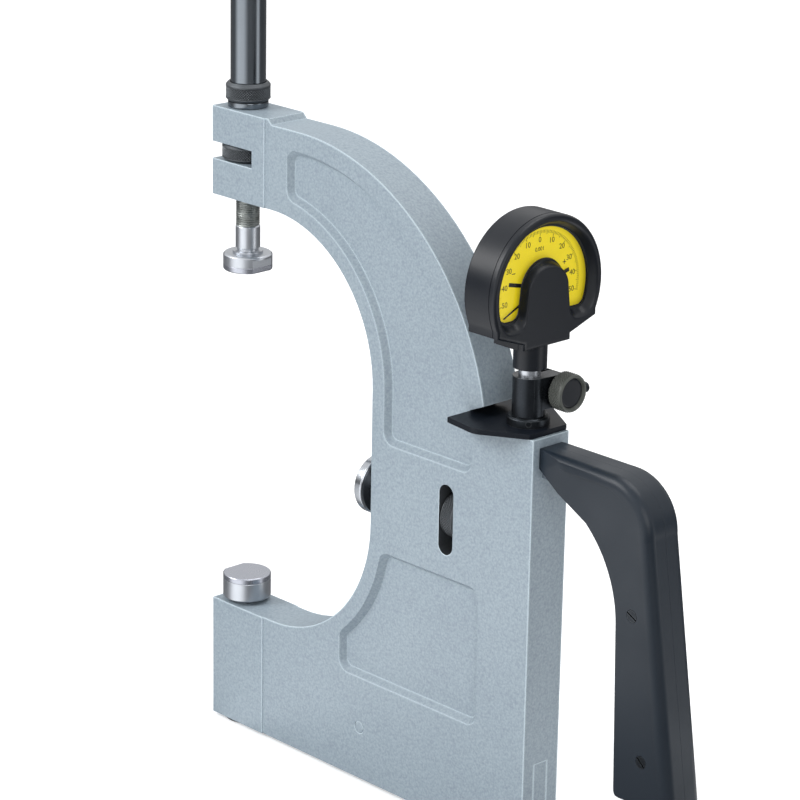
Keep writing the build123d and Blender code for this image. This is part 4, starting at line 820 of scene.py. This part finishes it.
class SNAPGAUGE_OT_case(bpy.types.Operator):
    """Comparator's case: housing, back cover and the mask with its bevelled window"""
    bl_idname = "snapgauge.case"
    bl_label = "Comparator case"

    def execute(self, context):
        for name, node in (("case_housing", "gauge_housing"), ("case_back", "gauge_back_cover")):
            place_piece(name, eased_copy(node, 0.4 * MM), "gauge", "lacquer", "case_black", node)
        mask = self.mask(context.scene.snap_gauge.shape)
        place_piece("case_mask", mask, "gauge", "lacquer", "case_black", "gauge_mask", angle=40)
        return {"FINISHED"}

    def outline(self):
        """Corners of the case seen from the front, in millimetres about the dial's centre."""
        radius, side, steps = 27.3, 24.9, 80
        chin = [(side, -13.65), (12, -18.1), (12, -20.6)]
        start = -acos(side / radius)
        arc = [(radius * cos(a), radius * sin(a)) for a in
               (start + (pi - 2 * start) * k / steps for k in range(steps + 1))]
        return arc + [(-y, z) for y, z in chin] + chin[::-1]

    def window(self, shape):
        """Edge of the window: points, the way into the mask at each, and the bevel's width there."""
        # Its right half, from the top: the arc of radius rim, the two corners of radius lobe at its foot,
        # which lies at height low, and back up the leaning side of the tongue to the arc of radius reach.
        rim, lobe, reach, low, widening = 22.2, 3.6, 11.0, -9.3, 1.2
        mid = low + lobe
        out = ((rim - lobe) ** 2 - mid ** 2) ** 0.5
        dip = atan2(mid, out)
        lean = atan2(widening, -low)
        near = reach + (mid / low) * widening + lobe / cos(lean)
        wide, end, thin = (w / MM for w in (shape.window_bevel, shape.lobe_bevel, shape.tongue_bevel))
        half = []
        for centre, radius, first, last, count, inner, widths in (
                ((0, 0), rim, pi / 2, dip, 40, 1, (wide, wide)),
                ((out, mid), lobe, dip, -pi / 2, 8, 1, (wide, end)),
                ((near, mid), lobe, -pi / 2, -pi + lean, 8, 1, (end, thin)),
                ((0, 0), reach, 0, pi / 2, 20, -1, (thin, wide))):
            for k in range(count + 1):
                t = k / count
                a = first + (last - first) * t
                ease = t * t * (3 - 2 * t)
                half.append((centre[0] + radius * cos(a), centre[1] + radius * sin(a), inner * cos(a),
                             inner * sin(a), widths[0] + (widths[1] - widths[0]) * ease))
        return half + [(-y, z, -ny, nz, w) for y, z, ny, nz, w in half[-2:0:-1]]

    def mask(self, shape):
        """Mesh of the mask: rounded over its outer edge, and sunk round the window with a smooth bevel."""
        back, front = span("gauge_mask", "x")
        model = bmesh.new()
        corners = [Vector(c) for c in self.outline()]
        normals = []
        for i, corner in enumerate(corners):
            a = (corner - corners[i - 1]).normalized()
            b = (corners[(i + 1) % len(corners)] - corner).normalized()
            across = Vector((a.y + b.y, -a.x - b.x))
            normals.append(across / max(0.3, 1 + a.dot(b)))
        if normals[0].dot(corners[0]) < 0:
            normals = [-n for n in normals]
        edge = self.window(shape)

        def ring(points, x):
            return [model.verts.new((x * MM, y * MM, (DIAL_CENTRE + z) * MM)) for y, z in points]

        def outside(inset, x):
            return ring([c - n * inset for c, n in zip(corners, normals)], x)

        def inside(share, more, x):
            return ring([(y + ny * (w * share + more), z + nz * (w * share + more))
                         for y, z, ny, nz, w in edge], x)

        soft, step, rows = 1.3, 0.15, 9
        # Rings from the back to the front outside, with a fine step at the back and a rounded edge, and
        # inside from behind the mask up the bevel.
        outer = [outside(step, back), outside(step, back + 0.25), outside(0, back + 0.4)]
        for k in range(6):
            a = pi / 2 * k / 5
            outer.append(outside(soft * (1 - cos(a)), front - soft + soft * sin(a)))
        outer.append(outside(soft + step, front))
        drop = front - back + 0.65
        inner = [inside(0, 0.3, back), inside(0, 0.3, back - 0.6)]
        for k in range(rows + 1):
            t = 1 - k / rows
            inner.append(inside(1 - t, 0, front - drop * t * t * (3 - 2 * t)))
        inner.append(inside(1, 0.2, front))
        for rings in (outer, inner):
            for low, high in zip(rings, rings[1:]):
                bridge(model, low, high)
        for first, second in ((outer[0], inner[0]), (outer[-1], inner[-1])):
            flat = [[v.co.yz.to_3d() for v in loop] for loop in (first, second)]
            every = first + second
            for corner in tessellate_polygon(flat):
                model.faces.new([every[i] for i in corner])
        return model_mesh(model)


class SNAPGAUGE_OT_dial(bpy.types.Operator):
    """Dial with its graduations and figures, its hands and the clear window"""
    bl_idname = "snapgauge.dial"
    bl_label = "Dial"

    def execute(self, context):
        # The dial, the hands and the window are drawn nearer the front than their nodes, so that the case's
        # rim hides as much of the dial as on the real one.
        settings = context.scene.snap_gauge.dial
        front = 156.6
        place = stand((front + 0.03, 0, DIAL_CENTRE), (1, 0, 0))
        place_piece("dial_face", self.moved("dial_plate", {155.0: front}), "gauge", "dial", "dial_yellow",
                    "dial_plate")
        empty = bpy.data.meshes.new("work")
        marks = grow(graduation_tree, empty, "ink", place, Divisions=settings.divisions,
                     Half_Span=settings.half_span, Radius=settings.tick_radius, Length=settings.tick_length,
                     Width=settings.tick_width)
        place_piece("graduations", marks, "gauge", "ink", "needle_black")
        high, last = settings.figure_height, settings.last_figure
        figures = []
        for figure in range(-last, last + 1, 10):
            angle = settings.half_span * figure / last
            figures.append(self.text(str(abs(figure)), high, settings.figure_radius * sin(angle),
                                     settings.figure_radius * cos(angle)))
        for words, share, aside, up in (
                ("0.001", 0.75, 0, 13.8), ("−", 1.3, -12.8, 6.8), ("+", 1.3, 12.8, 6.8)):
            figures.append(self.text(words, share * high, aside * MM, up * MM))
        printing = joined(figures)
        printing.transform(place)
        place_piece("figures", printing, "gauge", "ink", "needle_black")
        for name, node, body, moves in (
                ("low_hand", "marker_low", "low_mark", {155.3: 156.66, 155.8: 156.84}),
                ("high_hand", "marker_high", "high_mark", {156.1: 156.92, 156.6: 157.1})):
            place_piece(name, self.moved(node, moves), body, "ink", "needle_black", node)
        dress("pointer", "ink")
        pane = self.moved("gauge_lens", {158.2: 158.05, 159.0: 158.3})
        place_piece("window_pane", pane, "gauge", "acrylic", "clear_lens", "gauge_lens")
        return {"FINISHED"}

    def moved(self, node, levels):
        """Copy of a node with its faces at some levels (x in millimetres) taken to others."""
        mesh = nodes[node].data.copy()
        model = merged(mesh)
        for corner in model.verts:
            for low, high in levels.items():
                if abs(corner.co.x - low * MM) < 0.02 * MM:
                    corner.co.x = high * MM
                    break
        return write(model, mesh)

    def text(self, words, height, x, y):
        """Mesh of printed words, this high and centred on a point of the dial, all in metres."""
        curve = bpy.data.curves.new("figure", "FONT")
        curve.body = words
        curve.size = height * 1.4   # the figures of Blender's own font are about 0.7 of its size high
        curve.align_x = "CENTER"
        curve.align_y = "CENTER"
        curve.extrude = 0.02 * MM
        curve.resolution_u = 4
        mesh = plain_mesh(new_object("figure", curve))
        mesh.transform(Matrix.Translation((x, y, 0)))
        return mesh


class SNAPGAUGE_OT_handle(bpy.types.Operator):
    """Both halves of the handle with rounded edges"""
    bl_idname = "snapgauge.handle"
    bl_label = "Handle"

    def execute(self, context):
        edge = context.scene.snap_gauge.shape.handle_edge
        for name, node in (("near_half", "handle_shell_near"), ("far_half", "handle_shell_far")):
            place_piece(name, eased_copy(node, edge, 50, 3), "frame_body", "grip", "grip_plastic", node)
        return {"FINISHED"}


class SNAPGAUGE_OT_screws(bpy.types.Operator):
    """Slotted screws that hold the handle's halves"""
    bl_idname = "snapgauge.screws"
    bl_label = "Screws"

    def execute(self, context):
        near, far = span("handle_screws", "y")
        spots = ((214.1, 47.4), (221.2, -5.8))
        screws = [screw_heads(spots, 2.4, 1.6, -55, 35, stand((0, near, 0), (0, -1, 0)))]
        screws += [turned([(0, near - far), (1.5, near - far), (1.5, -1.5), (0, -1.5)], 0.1, 32,
                          stand((x, near, z), (0, -1, 0))) for x, z in spots]
        place_piece("slotted_handle_screws", joined(screws), "frame_body", "oxide", "black_steel",
                    "handle_screws")
        return {"FINISHED"}


class SNAPGAUGE_OT_inner_parts(bpy.types.Operator):
    """Finishes of the solids that stay as they are"""
    bl_idname = "snapgauge.inner_parts"
    bl_label = "Inner parts"

    def execute(self, context):
        kept = {
            "enamel": ("rear_cover", "base_cover", "lever_pivot_pin"),
            "steel": ("push_rod", "rod_bushes", "lower_guide_bush", "spindle_bush", "spindle_key",
                      "anvil_spring", "rocker_lever", "rocker_pads", "handle_core", "fine_adjust_screw"),
            "level_steel": ("stop_rod", "stop_guide_pin"),
            "chrome": ("gauge_stem", "gauge_plunger", "plunger_tip"),
            "oxide": ("base_cover_screws", "back_cover_screws", "handle_mount_screws", "spring_plug",
                      "clamp_screw"),
            "brass": ("pinion_arbor", "sector_lever", "movement_bridge"),
        }
        for name, members in kept.items():
            for node in members:
                dress(node, name)
        return {"FINISHED"}


class SNAPGAUGE_OT_stage(bpy.types.Operator):
    """Floor, lamps, world and camera"""
    bl_idname = "snapgauge.stage"
    bl_label = "Stage"

    def execute(self, context):
        settings = context.scene.snap_gauge.stage
        model = bmesh.new()
        bmesh.ops.create_grid(model, x_segments=1, y_segments=1, size=6,
                              matrix=Matrix.Translation((0, 0, cad_box[0].z)))
        mesh = write(model, bpy.data.meshes.new("floor"))
        mesh.materials.append(self.pale_floor(settings))
        new_object("floor", mesh)
        for name, spot, aim, size, power in (
                ("key", (-0.9, -1.5, 1.3), (0.06, 0, 0.08), 1.2, 30),
                ("fill", (1.6, -0.9, 0.7), (0.08, 0, 0.06), 1.2, 8),
                ("top", (0.2, 0.5, 1.9), (0.08, 0, 0.06), 1.4, 16)):
            lamp = bpy.data.lights.new(name, "AREA")
            lamp.shape = "DISK"
            lamp.size = size
            lamp.energy = power
            holder = new_object(name, lamp)
            holder.location = spot
            holder.rotation_euler = (Vector(aim) - Vector(spot)).to_track_quat("-Z", "Y").to_euler()
        self.world(context)
        self.camera(context, settings)
        context.scene.view_settings.view_transform = "Standard"
        return {"FINISHED"}

    def screens(self, add, place):
        """Parts of a direction, and the share of white screen in it. Two tall screens stand by the gauge,
        each with its middle, half width and soft edge in degrees."""
        way = add("ShaderNodeSeparateXYZ", {0: place})
        around = add("ShaderNodeMath", {0: way.outputs["Y"], 1: way.outputs["X"]}, operation="ARCTAN2")
        light = 0.0
        for middle, half, soft in ((-89, 33, 14), (24, 10, 5)):
            off = add("ShaderNodeMath", {0: around, 1: radians(middle)}, operation="SUBTRACT")
            far = add("ShaderNodeMath", {0: off}, operation="ABSOLUTE")
            screen = add("ShaderNodeMapRange", {
                "Value": far, "From Min": radians(half - soft), "From Max": radians(half + soft),
                "To Min": 1.0, "To Max": 0.0})
            light = add("ShaderNodeMath", {0: light, 1: screen}, operation="MAXIMUM")
        return way, light

    def pale_floor(self, settings):
        # Matt white card: it takes the gauge's soft shadow, and lights itself a little for the camera so
        # that it reads as white paper. Mirrors see it white in front of the screens and grey between them.
        material, add = new_material("White card")
        place = add("ShaderNodeTexCoord").outputs["Object"]
        screen = self.screens(add, place)[1]
        path = add("ShaderNodeLightPath")
        between = add("ShaderNodeMath", {0: 1.0, 1: screen}, operation="SUBTRACT")
        grey = add("ShaderNodeMath", {0: path.outputs["Is Glossy Ray"], 1: between}, operation="MULTIPLY")
        card = add("ShaderNodeMix", {"Factor": grey, "A": settings.floor, "B": linear("#7B7C7E")},
                   data_type="RGBA")
        bright = add("ShaderNodeMath", {0: path.outputs["Is Glossy Ray"], 1: screen}, operation="MULTIPLY")
        glow = add("ShaderNodeMath", {0: bright, 1: 0.9}, operation="MULTIPLY")
        seen = add("ShaderNodeMath", {0: path.outputs["Is Camera Ray"], 1: 0.35, 2: glow},
                   operation="MULTIPLY_ADD")
        shader = add("ShaderNodeBsdfPrincipled", {
            "Base Color": card, "Roughness": 0.9, "Emission Color": (1, 1, 1, 1),
            "Emission Strength": seen})
        add("ShaderNodeOutputMaterial", {"Surface": shader})
        return material

    def world(self, context):
        # A white studio: even light, and for mirrors a white ceiling, grey walls and the two white screens,
        # which draw bright bands down round steel parts.
        world = bpy.data.worlds.new("studio")
        context.scene.world = world
        world.use_nodes = True
        world.node_tree.nodes.clear()
        add = partial(add_node, world.node_tree)
        way, screen = self.screens(add, add("ShaderNodeTexCoord").outputs["Generated"])
        ceiling = add("ShaderNodeMapRange", {
            "Value": way.outputs["Z"], "From Min": 0.12, "From Max": 0.3, "To Min": 0.2, "To Max": 1.1})
        wall = add("ShaderNodeMath", {0: screen, 1: 1.5}, operation="MULTIPLY")
        mirror = add("ShaderNodeMath", {0: ceiling, 1: wall}, operation="MAXIMUM")
        path = add("ShaderNodeLightPath")
        glossy = add("ShaderNodeMix", {"Factor": path.outputs["Is Glossy Ray"], "A": 0.45, "B": mirror},
                     data_type="FLOAT")
        seen = add("ShaderNodeMath", {
            0: path.outputs["Is Camera Ray"], 1: path.outputs["Is Transmission Ray"]}, operation="MAXIMUM")
        level = add("ShaderNodeMix", {"Factor": seen, "A": glossy, "B": 1.0}, data_type="FLOAT")
        sky = add("ShaderNodeBackground", {"Color": (1, 1, 1, 1), "Strength": level})
        add("ShaderNodeOutputWorld", {"Surface": sky})

    def camera(self, context, settings):
        """Camera at its distance from its aim, turned and rolled, and set a little to the left and up."""
        a, e, r = settings.azimuth, settings.elevation, settings.roll
        forward = Vector((-sin(a) * cos(e), cos(a) * cos(e), -sin(e)))
        right = Vector((cos(a), sin(a), 0))
        up = right.cross(forward)
        right, up = right * cos(r) + up * sin(r), up * cos(r) - right * sin(r)
        data = bpy.data.cameras.new("camera")
        data.lens = settings.lens
        data.clip_start, data.clip_end = 0.05, 30
        camera = new_object("camera", data)
        aim, left, raised = Vector((0.0893, 0, 0.0797)), 0.00136, 0.01376
        turn = Matrix((right, up, -forward)).transposed()
        camera.matrix_world = Matrix.Translation(
            aim - forward * settings.distance - right * left + up * raised) @ turn.to_4x4()
        context.scene.camera = camera


class SNAPGAUGE_PT_panel(bpy.types.Panel):
    """Lists the gauge's settings and steps"""
    bl_label = "Snap Gauge"
    bl_idname = "SNAPGAUGE_PT_panel"
    bl_space_type = "VIEW_3D"
    bl_region_type = "UI"
    bl_category = "Snap Gauge"

    def draw(self, context):
        settings = context.scene.snap_gauge
        for part in ("finish", "shape", "dial", "stage"):
            box = self.layout.box()
            box.label(text=part.capitalize())
            group = getattr(settings, part)
            for name in group.__annotations__:
                box.prop(group, name)
        for step in STEPS:
            self.layout.operator(step.bl_idname)


GROUPS = (FinishSettings, FineShapeSettings, DialSettings, StageSettings, GaugeSettings)
STEPS = (SNAPGAUGE_OT_casting, SNAPGAUGE_OT_anvils, SNAPGAUGE_OT_column, SNAPGAUGE_OT_work_stop,
         SNAPGAUGE_OT_clamp, SNAPGAUGE_OT_case, SNAPGAUGE_OT_dial, SNAPGAUGE_OT_handle, SNAPGAUGE_OT_screws,
         SNAPGAUGE_OT_inner_parts, SNAPGAUGE_OT_stage)
CLASSES = (*GROUPS, *STEPS, SNAPGAUGE_PT_panel)


def register():
    for kind in CLASSES:
        bpy.utils.register_class(kind)
    bpy.types.Scene.snap_gauge = PointerProperty(type=GaugeSettings)


def unregister():
    del bpy.types.Scene.snap_gauge
    for kind in reversed(CLASSES):
        bpy.utils.unregister_class(kind)


def main():
    register()
    for step in STEPS:
        family, name = step.bl_idname.split(".")
        getattr(getattr(bpy.ops, family), name)()


if __name__ == "__main__":
    main()
